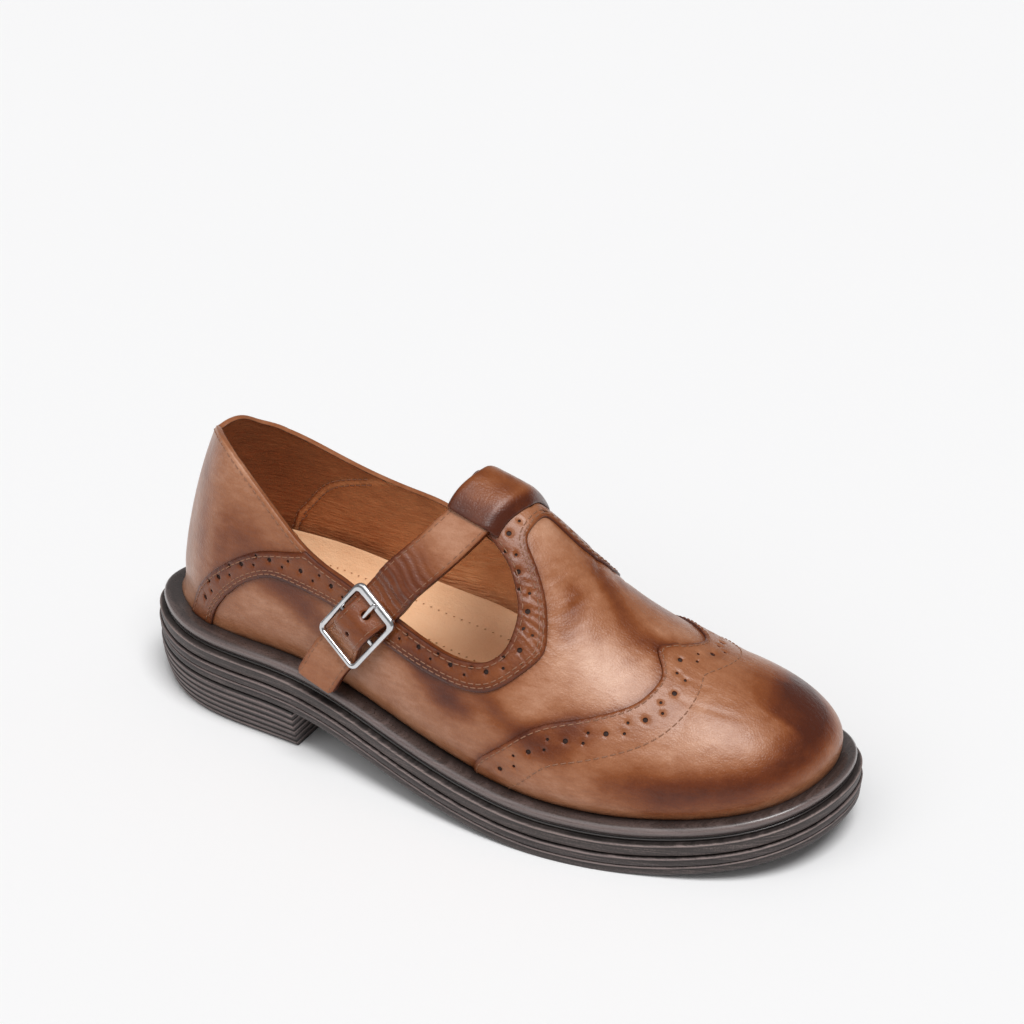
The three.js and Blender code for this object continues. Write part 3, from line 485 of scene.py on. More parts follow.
def down_to_feather(line):
    """The part of a line above the feather edge; the line starts below or at it."""
    station, down = locate(line)
    above = down < read_table(SKIN_LENGTHS, station) + FEATHER_PAST
    return line[int(np.argmax(above)):]


def keep_side(line, side, beyond=0.0):
    """The part of a flat line on one side of the middle."""
    return line[side * line[:, 1] > beyond]


def panel_loop(*parts):
    return even_line(np.vstack(parts), OUTLINE_STEP, True)


OPENING_BACK = [15.6, 0.0]
lateral_top = keep_side(edge_line(LATERAL_TOPLINE, LATERAL), LATERAL, 1.5)
medial_top = keep_side(edge_line(MEDIAL_TOPLINE, MEDIAL), MEDIAL, 1.5)
opening = np.vstack([[OPENING_BACK], lateral_top, medial_top[::-1]])
opening = soften(even_line(opening, EDGE_STEP, True), 3, True)

lateral_cap = keep_side(down_to_feather(edge_line(LATERAL_CAP, LATERAL)), LATERAL)
medial_cap = keep_side(down_to_feather(edge_line(MEDIAL_CAP, MEDIAL)), MEDIAL)
cap_edge = np.vstack([medial_cap, lateral_cap[::-1]])
cap_loop = panel_loop(feather_between(station_of(lateral_cap[0]), station_of(medial_cap[0])), cap_edge)


def band_sides(outer_rows, inner_rows, top, side):
    """Both edges of the band on one side; the outer one joins the topline where it meets it."""
    outer = down_to_feather(edge_line(outer_rows, side))
    gaps = np.linalg.norm(outer[:, None] - top[None], axis=2)
    near = gaps.min(1)
    stop = int(np.argmax(near < 1.2)) if (near < 1.2).any() else int(np.argmin(near))
    outer = np.vstack([outer[:stop], top[int(gaps[stop].argmin()):]])
    return outer, down_to_feather(edge_line(inner_rows, side))


lateral_outer, lateral_inner = band_sides(LATERAL_BAND_OUTER, LATERAL_BAND_INNER, lateral_top, LATERAL)
medial_outer, medial_inner = band_sides(MEDIAL_BAND_OUTER, MEDIAL_BAND_INNER, medial_top, MEDIAL)
trim_outer = even_line(np.vstack([lateral_outer, medial_outer[::-1]]), OUTLINE_STEP)
trim_inner = soften(even_line(np.vstack([medial_inner, lateral_inner[::-1]]), OUTLINE_STEP), 10)

# The band's inner edge crosses the T-bar in a nearly straight line
BAR_MEDIAL, BAR_LATERAL, BAR_FRONT, BAR_SLANT = 1.5, -11, 157.5, 0.18
crossing = (trim_inner[:, 1] > BAR_LATERAL) & (trim_inner[:, 1] < BAR_MEDIAL)
bar_line = BAR_FRONT + BAR_SLANT * trim_inner[crossing, 1]
trim_inner[crossing, 0] = np.maximum(trim_inner[crossing, 0], bar_line)
trim_inner = soften(even_line(trim_inner, OUTLINE_STEP), 10)
trim_loop = panel_loop(
    trim_outer, feather_between(station_of(medial_inner[0]), station_of(medial_outer[0]))[::-1],
    trim_inner, feather_between(station_of(lateral_outer[0]), station_of(lateral_inner[0]))[::-1])


# Creases: lines laid flat with depth and half width in millimetres
CREASES = [
    ([(168, -17), (171, -8), (174, 2), (177, 10)], 0.35, 1.0),
    ([(170, -20), (174, -11), (177, 0), (180, 10)], 0.40, 1.1),
    ([(171, -23), (175, -14), (178, -4), (181, 6)], 0.30, 0.9),
    ([(172, -26), (177, -17), (180, -7), (183, 2)], 0.42, 1.1),
    ([(173, -29), (178, -20), (182, -10)], 0.28, 0.9),
    ([(173, -32), (179, -23), (183, -13)], 0.30, 1.0),
    ([(173, -35), (179, -27), (184, -18)], 0.20, 0.9),
    ([(166, 24), (172, 14), (178, 4), (181, -3)], 0.35, 1.1),
    ([(169, 30), (176, 20), (182, 9)], 0.32, 1.1),
    ([(171, 36), (179, 25), (185, 14)], 0.25, 1.0),
    ([(176, -52), (186, -46), (196, -42)], 0.16, 1.6),
    ([(213, -21), (220, -20), (228, -19), (240, -16)], 0.16, 1.2),
    ([(217, -12), (223, -12), (229, -11)], 0.14, 0.9),
    ([(205, -46), (213, -41), (221, -37)], 0.14, 1.2),
    ([(150, -73), (163, -68), (176, -60)], 0.18, 2.0),
]


def distance_to_line(points, line):
    """Distances from flat points to a flat line, and the share of the line's length where they fall."""
    best = np.full(len(points), 1e9)
    share = np.zeros(len(points))
    arc = arc_of(line)
    lengths = np.diff(arc)
    for k, (a, b) in enumerate(zip(line[:-1], line[1:])):
        t = np.clip(((points - a) @ (b - a)) / max(lengths[k] ** 2, 1e-9), 0, 1)
        gap = np.linalg.norm(points - a - t[:, None] * (b - a), axis=1)
        near = gap < best
        best[near] = gap[near]
        share[near] = (arc[k] + t[near] * lengths[k]) / arc[-1]
    return best, share


BEND_LINE = smooth_line([(160.5, -19), (165, -26), (168, -33), (168, -42), (165, -50)])
BEND_WIDTH, BEND_LENGTH, BEND_PITCH, BEND_DEPTH = 6.5, 40, 2.6, 0.34


def relief(flat):
    """Lift of the skin at creases, in millimetres."""
    lift = np.zeros(len(flat))
    for points, depth, width in CREASES:
        line = smooth_line(points)
        low, high = line.min(0) - 4 * width, line.max(0) + 4 * width
        near = ((flat >= low) & (flat <= high)).all(1)
        if not near.any():
            continue
        gap, share = distance_to_line(flat[near], line)
        u = (gap / width) ** 2
        ends = np.sin(np.pi * np.clip(share, 0.02, 0.98)) ** 0.5
        lift[near] -= depth * (1 - 0.55 * u) * np.exp(-0.7 * u) * ends
    gap, share = distance_to_line(flat, BEND_LINE)
    near = gap < 3 * BEND_WIDTH
    gap, share = gap[near], share[near]
    run = share * BEND_LENGTH / BEND_PITCH * 2 * math.pi
    wobble = np.sin(run + 0.8 * np.sin(0.37 * run + gap * 0.5))
    lift[near] += BEND_DEPTH * wobble * swell(gap, 0, BEND_WIDTH) * np.sin(np.pi * share) ** 0.7
    return lift


# Burnish and painted light: darker and lighter places on the flat skin, as centre, half sizes, turn in
# degrees, amount; the lighter spot at (190, -28) is a painted highlight on the vamp
BURNISH_AND_PAINTED_HIGHLIGHT_SPOTS = [
    ((142, -74), (9, 5), 10, 0.42), ((161, -66), (9, 5), 15, 0.36), ((133, -70), (8, 4), 8, 0.34),
    ((148, -76), (10, 4), 8, 0.30), ((79, -75), (11, 6), -20, 0.40), ((68, -71), (9, 5), 0, 0.35),
    ((92, -82), (9, 5), -15, 0.35), ((54, -58), (14, 9), 20, 0.30), ((36, -62), (16, 12), 40, 0.22),
    ((10, -50), (12, 14), 0, 0.22), ((178, -62), (12, 4), 25, 0.45), ((190, -49), (8, 4), 30, 0.30),
    ((52, -30), (14, 6), 0, -0.10), ((156, -3), (7, 9), 0, -0.26), ((12, -22), (10, 16), 20, 0.20),
    ((242, 4), (10, 13), 0, 0.24), ((252, 18), (8, 9), 0, 0.22), ((206, -58), (12, 5), 25, 0.12),
    ((120, 62), (30, 8), 0, 0.35), ((70, 70), (22, 10), 0, 0.30), ((165, 60), (24, 7), -10, 0.35),
    ((60, 52), (16, 10), 0, 0.25), ((196, 46), (14, 5), -40, 0.30), ((230, -28), (10, 5), 35, -0.14),
    # The lighter spot at (190, -28) on the next line is a painted highlight on the vamp
    ((190, -28), (14, 9), 25, -0.22), ((105, -78), (16, 5), 0, -0.10),
]
BURNISH_LINES = [
    ([(240, 34), (250, 17), (259, 10), (262, -4), (261, -16), (256, -29), (246, -39), (232, -47),
      (219, -52), (206, -57)], 6.5, 0.62),
    ([(240, 34), (226, 46), (212, 54), (196, 60)], 6.0, 0.5),
    ([(172, 8), (178, 4), (184, 1), (191, -4), (197, -8), (201, -7), (207, -3)], 4.0, 0.34),
    ([(201, 19), (190, 17), (179, 12)], 5.0, 0.22),
    ([(246, 14), (250, 4), (252, -8)], 8.5, 0.50),
    ([(175, -8), (178, -18), (178, -28)], 4.0, 0.22),
]


def burnish_and_painted_light(flat):
    value = np.full(len(flat), 0.10)
    for centre, (wide, tall), turn, amount in BURNISH_AND_PAINTED_HIGHLIGHT_SPOTS:
        c, s = math.cos(math.radians(turn)), math.sin(math.radians(turn))
        away = (flat - centre) @ [[c, -s], [s, c]] / [wide, tall]
        value += amount * np.exp(-(away**2).sum(1))
    for points, width, amount in BURNISH_LINES:
        gap, share = distance_to_line(flat, smooth_line(points))
        fade = np.minimum(1, 6 * np.minimum(share, 1 - share) + 0.25)
        value += amount * swell(gap, 0, width) * fade
    return value


# Mesh helpers
def add_mesh(name, points, faces, material, replaces=(), tones=None):
    mesh = bpy.data.meshes.new(name)
    points = (np.asarray(points, float) + SHIFT) * MM
    mesh.from_pydata(points.tolist(), [], [list(map(int, face)) for face in faces])
    mesh.validate()
    mesh.materials.append(material)
    mesh.polygons.foreach_set("use_smooth", np.ones(len(mesh.polygons), bool))
    if tones is not None:
        # Per-point tone: burnish together with painted shade and painted highlights
        layer = mesh.attributes.new("burnish_and_painted_light", "FLOAT", "POINT")
        layer.data.foreach_set("value", np.asarray(tones, np.float32))
    mesh.update()
    piece = bpy.data.objects.new(name, mesh)
    bpy.context.scene.collection.objects.link(piece)
    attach(piece, "root")
    if replaces:
        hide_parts(*replaces)


def tube_points(centres, side, up, radii, sides):
    """Rings of points round the places of a line, with the directions of each ring."""
    c, s = circle(1, sides).T[:, :, None]
    spread = side[..., None, :] * c + up[..., None, :] * s
    return (centres[:, None] + np.asarray(radii)[:, None, None] * spread).reshape(-1, 3)


def tube_faces(rings, sides, base=0, ends=False):
    """Quads between rings of points that follow each other, with flat ends where asked for."""
    corners = [(base + j * sides + i, base + j * sides + (i + 1) % sides)
               for j in range(rings - 1) for i in range(sides)]
    faces = [(a, b, b + sides, a + sides) for a, b in corners]
    if ends:
        last = base + (rings - 1) * sides
        faces += [range(base + sides - 1, base - 1, -1), range(last, last + sides)]
    return faces


def at_zero(flat):
    return np.pad(np.asarray(flat, float), ((0, 0), (0, 1)))


def within(points, loops):
    """Which points lie inside the first loop and outside the others."""
    keep = inside(points, loops[0])
    for loop in loops[1:]:
        keep &= ~inside(points, loop)
    return keep


def triangulate(loops, spacing, holes=()):
    """Triangles of a flat sheet: inside the first loop, outside the other loops and the holes."""
    low, high = loops[0].min(0), loops[0].max(0)
    grid = []
    for k, y in enumerate(np.arange(low[1], high[1], spacing * 0.866)):
        xs = np.arange(low[0] + (k % 2) * spacing / 2, high[0], spacing)
        grid.append(np.stack([xs, np.full(len(xs), y)], -1))
    grid = np.vstack(grid)
    grid = grid[within(grid, loops)]
    rings = [*loops, *holes]
    gaps = distances_to(solid_tree(at_zero(np.vstack(rings))), at_zero(grid))
    grid = grid[gaps > spacing * 0.62]
    if holes:
        centres = [hole.mean(0) for hole in holes]
        sizes = [np.linalg.norm(hole - centre, axis=1).max() for hole, centre in zip(holes, centres)]
        tree = solid_tree(at_zero(centres))
        found = [tree.find(point) for point in at_zero(grid)]
        grid = grid[[gap > sizes[near] + 0.15 for _, near, gap in found]]
    points, edges, owner = [], [], []
    for number, loop in enumerate(rings):
        base, count = len(points), len(loop)
        points += [tuple(p) for p in loop]
        edges += [(base + k, base + (k + 1) % count) for k in range(count)]
        owner += [number] * count
    points += [tuple(p) for p in grid]
    owner += [-1] * len(grid)
    out, _, faces, origin, _, _ = delaunay_2d_cdt(points, edges, [], 0, 1e-5)
    flat = np.array([tuple(p) for p in out])
    index = {source: k for k, sources in enumerate(origin) for source in sources}
    faces = np.array([f for f in faces if len(f) == 3])
    owners = np.array([owner[o[0]] if o else -1 for o in origin])[faces]
    in_hole = (owners == owners[:, :1]).all(1) & (owners[:, 0] >= len(loops))
    faces = faces[within(flat[faces].mean(1), loops) & ~in_hole]
    a, b, c = flat[faces].transpose(1, 0, 2)
    turned = np.cross(b - a, c - a) < 0
    faces[turned] = faces[turned][:, ::-1]
    rims, start = [], 0
    for loop in rings:
        ring = [index[k] for k in range(start, start + len(loop)) if k in index]
        rims.append([r for k, r in enumerate(ring) if r != ring[k - 1]])
        start += len(loop)
    return flat, faces, rims


def hole_loop(centre, radius):
    """A round hole on the skin, as a flat loop."""
    values, vectors = np.linalg.eigh(metric_at(np.array([centre]))[0])
    root = vectors @ np.diag(1 / np.sqrt(values)) @ vectors.T
    return np.asarray(centre) + circle(radius, 12) @ root


EDGE_OUT, EDGE_BEND = 0.14, 0.4


def sheet_mesh(name, loops, lift, spacing, material, place=skin_at, holes=(), depth=1.0,
               replaces=(), tone=burnish_and_painted_light, shape=relief, rim_tone=0.0, down_face=False, edge_drop=0.10,
               edge_tone=0.42):
    """A leather sheet on a surface: rounded, turned-down edges and punched holes; down_face turns it over."""
    flat, faces, rims = triangulate(loops, spacing, holes)
    heights = np.full(len(flat), float(lift))
    points, normals = place(flat)
    rim_points = place(np.vstack([flat[r] for r in rims[:len(loops)]]))[0]
    edge_gap = distances_to(solid_tree(rim_points), points)
    if holes:
        middles = place(np.array([hole.mean(0) for hole in holes]))[0]
        sizes = [np.linalg.norm(place(h[:1])[0][0] - m) for h, m in zip(holes, middles)]
        tree = solid_tree(middles)
        for k, point in enumerate(points):
            _, near, gap = tree.find(point)
            heights[k] -= 0.2 * math.exp(-((max(0, gap - sizes[near]) / 0.45) ** 2))
    for rim in rims:
        heights[rim] -= edge_drop
    heights += shape(flat)
    tones = [tone(flat) + rim_tone * np.exp(-edge_gap / 1.5)]
    blocks, parts = [faces], [points + normals * heights[:, None]]
    count = len(flat)
    for number, rim in enumerate(rims):
        loop = flat[rim]
        material_left = (signed_area(loop) > 0) == (number == 0)
        if number >= len(loops):
            away = unit(loop.mean(0) - loop)
        else:
            away = left_steps(loop, True, place) * (-1 if material_left else 1)
        base_points, base_normals = place(loop + away * EDGE_OUT)
        previous = np.array(rim)
        for down in (EDGE_BEND, depth):
            parts.append(base_points + base_normals * (lift - down + shape(loop))[:, None])
            ids = count + np.arange(len(rim))
            count += len(rim)
            quads = np.stack([np.roll(previous, -1), previous, ids, np.roll(ids, -1)], -1)
            blocks.append(quads if material_left else quads[:, ::-1])
            tones.append(tones[0][rim] + edge_tone)
            previous = ids
    face_list = [face[::-1] if down_face else face for block in blocks for face in block.tolist()]
    add_mesh(name, np.vstack(parts), face_list, material, replaces, np.concatenate(tones))


# Brogue holes: a row of large holes with slanted pairs of small ones between
LARGE_HOLE, SMALL_HOLE, HOLE_PITCH, PAIR_ACROSS, PAIR_ALONG = 0.98, 0.62, 13.6, 1.5, 1.1
ROW_STEP, ROW_END = 0.2, 7.0


def brogue_row(row):
    """Holes along a flat row, as centres and outlines."""
    line = even_line(row, ROW_STEP)
    along = np.gradient(line, axis=0)
    along /= np.linalg.norm(skin_at(line + along)[0] - skin_at(line)[0], axis=1)[:, None]
    pair = left_steps(line) * PAIR_ACROSS + along * PAIR_ALONG
    found = []
    place = ROW_END
    while place < len(line) * ROW_STEP - ROW_END:
        found.append((line[int(place / ROW_STEP)], LARGE_HOLE))
        half = int((place + HOLE_PITCH / 2) / ROW_STEP)
        if half < len(line) - ROW_END / ROW_STEP:
            found += [(line[half] + side * pair[half], SMALL_HOLE) for side in (-1, 1)]
        place += HOLE_PITCH
    return [(centre, hole_loop(centre, radius)) for centre, radius in found]


TRIM_ROW, CAP_ROW = -6.4, 6.3
trim_holes = brogue_row(offset_line(trim_inner, TRIM_ROW))
cap_holes = brogue_row(offset_line(cap_edge, CAP_ROW))


# Materials
class Nodes:
    """Short forms for building a material's node graph."""

    def __init__(self, name):
        self.material = bpy.data.materials.new(name)
        self.material.use_nodes = True
        self.tree = self.material.node_tree
        self.shader = self.tree.nodes["Principled BSDF"]

    def set(self, socket, value):
        """A number goes on the socket itself, anything else is linked to it."""
        if isinstance(value, (int, float)):
            socket.default_value = value
        else:
            self.tree.links.new(value, socket)

    def node(self, kind, output, settings=(), **sockets):
        node = self.tree.nodes.new(kind)
        for key, value in dict(settings).items():
            setattr(node, key, value)
        for key, value in sockets.items():
            self.set(node.inputs[key.replace("_", " ")], value)
        return node.outputs[output]

    def coordinates(self, stretch=(1, 1, 1)):
        place = self.node("ShaderNodeTexCoord", "Object")
        vector = self.node("ShaderNodeMapping", "Vector", Vector=place)
        vector.node.inputs["Scale"].default_value = [s * 1000 for s in stretch]
        return vector

    def noise(self, vector, scale, detail=3.0, roughness=0.55):
        return self.node("ShaderNodeTexNoise", "Fac", Vector=vector, Scale=scale, Detail=detail,
                         Roughness=roughness)

    def cells(self, vector, scale):
        return self.node("ShaderNodeTexVoronoi", "Distance", Vector=vector, Scale=scale)

    def math(self, operation, a, b):
        node = self.node("ShaderNodeMath", 0, {"operation": operation}).node
        for socket, value in zip(node.inputs, (a, b)):
            self.set(socket, value)
        return node.outputs[0]

    def scaled(self, value, low, high, to_low, to_high):
        return self.node("ShaderNodeMapRange", "Result", Value=value, From_Min=low, From_Max=high,
                         To_Min=to_low, To_Max=to_high)

    def attribute(self, name):
        return self.node("ShaderNodeAttribute", "Fac", {"attribute_name": name})

    def ramp(self, value, stops):
        colour = self.node("ShaderNodeValToRGB", "Color", Fac=value)
        elements = colour.node.color_ramp.elements
        while len(elements) < len(stops):
            elements.new(0.5)
        for element, (place, shade) in zip(elements, stops):
            element.position = place
            element.color = (*shade, 1)
        return colour

    def bump(self, height, distance, strength, **normal):
        return self.node("ShaderNodeBump", "Normal", Height=height, Distance=distance * MM,
                         Strength=strength, **normal)

    def surface(self, **sockets):
        for key, value in sockets.items():
            self.set(self.shader.inputs[key.replace("_", " ")], value)
        return self.material


LEATHER_STOPS = [
    (0.00, (0.62, 0.350, 0.225)), (0.14, (0.505, 0.250, 0.148)), (0.32, (0.355, 0.138, 0.062)),
    (0.52, (0.232, 0.064, 0.016)), (0.75, (0.140, 0.029, 0.005)), (1.00, (0.072, 0.012, 0.002)),
]


def leather_material(name, offset, gloss, mottle=0.12, coat=0.37, stops=LEATHER_STOPS,
                     stretch=(0.5, 1.6, 1.2), crease=0.5):
    n = Nodes(name)
    place = n.coordinates()
    tone = n.math("ADD", n.attribute("burnish_and_painted_light"), offset)
    broad = n.scaled(n.noise(place, 0.035, 4, 0.6), 0.25, 0.75, -mottle, mottle)
    streak = n.noise(n.coordinates((1, 1, 2.2)), 0.16, 4, 0.65)
    streak = n.scaled(streak, 0.25, 0.75, -0.7 * mottle, 0.7 * mottle)
    fine = n.scaled(n.noise(place, 1.3, 3, 0.6), 0.2, 0.8, -0.035, 0.035)
    tone = n.math("ADD", n.math("ADD", tone, broad), n.math("ADD", streak, fine))
    wrinkle = n.noise(n.coordinates(stretch), 0.35, 3, 0.6)
    pores, pebble = n.cells(place, 1.5), n.noise(place, 0.75, 4, 0.6)
    grain = n.math("ADD", n.math("MULTIPLY", pores, 0.6), n.math("MULTIPLY", pebble, 0.8))
    normal = n.bump(wrinkle, crease, 0.6, Normal=n.bump(grain, 0.16, 0.85))
    rough = n.scaled(n.noise(place, 0.12, 3, 0.6), 0.3, 0.7, gloss - 0.05, gloss + 0.07)
    return n.surface(Base_Color=n.ramp(tone, stops), Roughness=rough, Normal=normal, Coat_Weight=coat,
                     Coat_Roughness=0.30, Specular_IOR_Level=0.25)


upper_leather = leather_material("upper_leather", 0.19, 0.33)
trim_leather = leather_material("trim_leather", 0.44, 0.34, 0.12)
strap_leather = leather_material("strap_leather", 0.17, 0.33, 0.10)
LINING_STOPS = [
    (0.00, (0.92, 0.50, 0.25)), (0.25, (0.66, 0.29, 0.125)), (0.50, (0.40, 0.145, 0.055)),
    (0.75, (0.26, 0.090, 0.036)), (1.00, (0.15, 0.048, 0.019)),
]
lining_leather = leather_material("lining_leather", 0.0, 0.50, 0.10, 0.0, LINING_STOPS, (0.3, 0.3, 2.4), 1.1)
INSOLE_STOPS = [
    (0.00, (0.95, 0.66, 0.42)), (0.30, (0.92, 0.57, 0.33)), (0.60, (0.74, 0.38, 0.19)),
    (1.00, (0.40, 0.17, 0.07)),
]
insole_cover = leather_material("insole_cover", 0.0, 0.60, 0.08, 0.0, INSOLE_STOPS)


def plain_material(name, colour, roughness, metallic=0.0, grain=0.6, depth=0.05):
    n = Nodes(name)
    place = n.coordinates()
    shade = n.scaled(n.noise(place, grain, 4, 0.6), 0.25, 0.75, 0.0, 1.0)
    dark, light = [c * 0.8 for c in colour], [min(1, c * 1.15) for c in colour]
    rough = n.scaled(n.noise(place, grain * 0.5, 3, 0.6), 0.3, 0.7, roughness * 0.8, roughness * 1.2)
    return n.surface(Base_Color=n.ramp(shade, [(0.0, dark), (1.0, light)]), Roughness=rough,
                     Normal=n.bump(shade, depth, 0.5), Metallic=metallic)


thread = plain_material("thread", (0.29, 0.130, 0.070), 0.5, grain=2.0)
insole_prick = plain_material("insole_prick", (0.42, 0.19, 0.085), 0.7, grain=2.0)
# Near-black colour that stands for the shade inside the punched holes
hole_painted_shade = plain_material("hole_painted_shade", (0.028, 0.011, 0.007), 0.8, grain=2.0)
buckle_metal = plain_material("buckle_metal", (0.68, 0.68, 0.69), 0.13, 1.0, 0.12, 0.02)


def sole_material(name, colour, roughness, lines=1.0, coat=0.0):
    """Dark rubber brushed along its length, with painted shade in its grooves and painted highlights on its
    lips, from each layer's row tones.
    """
    n = Nodes(name)
    place = n.coordinates()
    along = n.noise(n.coordinates((0.04, 0.04, 2.4)), 1.0, 4, 0.7)
    specks = n.noise(place, 1.6, 4, 0.7)
    tone = n.math("ADD", n.scaled(along, 0.3, 0.7, -0.6, 0.6), n.scaled(specks, 0.3, 0.7, -0.35, 0.35))
    tone = n.math("ADD", n.math("MULTIPLY", tone, lines), n.attribute("burnish_and_painted_light"))
    tone = n.math("ADD", n.math("MULTIPLY", tone, 0.5), 0.5)
    dark, light = [c * 0.25 for c in colour], [c * 4.5 for c in colour]
    normal = n.bump(specks, 0.08, 0.6, Normal=n.bump(along, 0.16, 0.7 * lines))
    rough = n.scaled(specks, 0.3, 0.7, roughness - 0.06, roughness + 0.12)
    return n.surface(Base_Color=n.ramp(tone, [(0.0, dark), (0.5, colour), (1.0, light)]), Roughness=rough,
                     Normal=normal, Coat_Weight=coat, Coat_Roughness=0.2)


welt_rubber = sole_material("welt_rubber", (0.042, 0.031, 0.029), 0.30, 0.45, 0.6)
band_rubber = sole_material("band_rubber", (0.053, 0.040, 0.037), 0.46)
sole_rubber = sole_material("sole_rubber", (0.049, 0.037, 0.035), 0.50)

# Panels of the upper
FEATHER_LOOP = even_line(FEATHER_LINE, 1.1, True)
BASE_GRID, OVERLAY_GRID = 1.15, 0.95


def gap_to(edge, flat):
    """Distances on the skin from flat places to a flat line."""
    return distances_to(solid_tree(skin_at(edge)[0]), skin_at(flat)[0])


def shell_tone_with_edge_shade(flat):
    """Burnish, with painted shade along the edges of the cap and the trim, where those overlays step up from
    the shell.
    """
    value = burnish_and_painted_light(flat)
    for edge, amount in ((cap_edge, 0.42), (trim_inner, 0.20), (trim_outer, 0.22)):
        value += amount * np.exp(-gap_to(edge, flat) / 1.7)
    return value


sheet_mesh("upper_shell", [FEATHER_LOOP, opening], 0.0, BASE_GRID, upper_leather,
           depth=UPPER_WALL - 0.2, replaces=["upper"], tone=shell_tone_with_edge_shade, edge_tone=0.12)


def cap_tone(flat):
    gap = gap_to(cap_edge, flat)
    # Darker close to the cap's edge: painted shade that, together with the shell's, makes the dark line at
    # the step; the band 6 mm in is darker too
    return burnish_and_painted_light(flat) + 0.12 * swell(gap, 6, 6) + 0.45 * np.exp(-gap / 0.9)


sheet_mesh("toe_cap", [cap_loop], OVERLAY_STEP, OVERLAY_GRID, upper_leather,
           holes=[h for _, h in cap_holes], depth=OVERLAY_STEP + 0.1, tone=cap_tone)
sheet_mesh("brogue_trim", [trim_loop], OVERLAY_STEP, OVERLAY_GRID, trim_leather,
           holes=[h for _, h in trim_holes], depth=OVERLAY_STEP + 0.1, rim_tone=0.28)

# Painted shade in the punched holes: near-black discs laid over the leather beneath them
BACK_SPREAD, BACK_LIFT = 1.25, 0.16
disc_points, disc_faces = [], []
for centre, loop in trim_holes + cap_holes:
    rim, normals = skin_at(np.vstack([loop, [centre]]))
    base, count = len(disc_points), len(loop)
    spread = rim[-1] + (rim - rim[-1]) * BACK_SPREAD
    disc_points += [*(spread + normals * (BACK_LIFT + relief(centre[None])[0]))]
    disc_faces += [(base + k, base + (k + 1) % count, base + count) for k in range(count)]
add_mesh("hole_shade_discs", disc_points, disc_faces, hole_painted_shade)

# Lining inside the upper: the quarters overlap the heel lining at a curved seam
LINING_LIFT = 0.25 - UPPER_WALL
LINING_SEAMS = [smooth_line([(28, -84), (46, -70), (60, -58), (78, -50), (104, -46)]),
                smooth_line([(28, 84), (46, 70), (58, 57), (72, 50), (91, 43), (107, 42)])]


def seam_swell(flat, width):
    return sum(swell(distance_to_line(flat, seam)[0], 0, width) for seam in LINING_SEAMS)


def lining_relief(flat):
    """A groove along each seam, and shallow waves on the quarters."""
    x, y = flat.T
    wave = np.sin(x * 0.55 + 1.6 * np.sin(y * 0.21)) * np.sin(y * 0.4 + x * 0.1)
    return 0.22 * wave * smooth_step(x, 75, 105) - 0.45 * seam_swell(flat, 0.8)


def lining_tone(flat):
    """Dark in the heel, lighter past the seams, with a light line along them; the lightening towards the
    front is painted light, deep in the shoe.
    """
    x, y = flat.T
    seam = np.interp(x, *LINING_SEAMS[1].T, left=200, right=0)
    quarter = smooth_step(np.abs(y), seam - 0.8, seam + 0.8)
    front = smooth_step(x + 0.3 * np.abs(y), 112, 145)
    return 0.60 - (0.20 + 0.34 * front) * quarter - 0.22 * seam_swell(flat, 1.1)


sheet_mesh("lining", [even_line(feather_flat(STATIONS, -1.0), 2.0, True), opening], LINING_LIFT, 1.6,
           lining_leather, depth=0.3, tone=lining_tone, shape=lining_relief, down_face=True,
           edge_drop=-0.3)


# Stitches: short thread capsules along flat lines
STITCH_LENGTH, STITCH_GAP, STITCH_WIDTH = 2.15, 0.65, 0.42
STITCH_SHARES = np.array([0, 0.12, 0.5, 0.88, 1])
STITCH_RISE = np.array([-0.22, 0.02, 0.10, 0.02, -0.22])
STITCH_SIZES = np.array([0.55, 1.0, 1.0, 1.0, 0.55])


def stitch_points(line, place, lift, shape=None):
    """Middle line of each stitch on a surface, as rows of points with normals."""
    arc = arc_of(place(line)[0])
    found = []
    start = 0.5
    while start + STITCH_LENGTH < arc[-1]:
        flat = read_rows(start + STITCH_LENGTH * STITCH_SHARES, arc, line)
        points, normals = place(flat)
        rise = lift + STITCH_RISE + (shape(flat) if shape else 0)
        found.append((points + normals * rise[:, None], normals))
        start += STITCH_LENGTH + STITCH_GAP
    return found


def stitch_mesh(name, stitches, width=STITCH_WIDTH):
    points, faces = [], []
    for row, normals in stitches:
        run = unit(np.gradient(row, axis=0))
        across = unit(np.cross(normals, run))
        faces += tube_faces(len(row), 6, len(points), True)
        points += [*tube_points(row, across, np.cross(run, across), width / 2 * STITCH_SIZES, 6)]
    add_mesh(name, points, faces, thread)


def inner_at(flat):
    """Points and inward normals of the skin, for stitches that show inside the shoe."""
    points, normals = skin_at(flat)
    return points, -normals


across_bar = np.arange(-17.0, 14.0, 0.5)
collar = opening[opening[:, 0] < 84]
turn_at = int(np.argmax(np.linalg.norm(np.diff(collar, axis=0), axis=1))) + 1
if turn_at < len(collar) - 1:
    collar = np.roll(collar, -turn_at, 0)
stitch_rows = [(offset_line(line, distance), OVERLAY_STEP) for line, distance in (
    (trim_outer, -1.5), (trim_inner, -1.3), (trim_inner, -2.6), (cap_edge, 1.2), (cap_edge, 13.4))]
stitch_rows += [(np.column_stack([146.8 + 0.035 * across_bar, across_bar]), OVERLAY_STEP),
                (even_line(collar + left_steps(collar) * -1.5, 0.6), 0.0)]
upper_stitches = []
for row, lift in stitch_rows:
    upper_stitches += stitch_points(row, skin_at, lift + 0.02, relief)
for seam in LINING_SEAMS:
    row = even_line(seam, 0.6)
    clear = ~inside(row, opening) & (gap_to(opening, row) > 3.0)
    row = row[:len(row) if clear.all() else int(np.argmin(clear))]
    for side in (1.3, -1.3):
        upper_stitches += stitch_points(row + left_steps(row) * side, inner_at, 0.35 - LINING_LIFT)
stitch_mesh("upper_stitches", upper_stitches)


# Sole: rings of outline points by rows of a profile, closed across by strips
SOLE_SIDE = 170


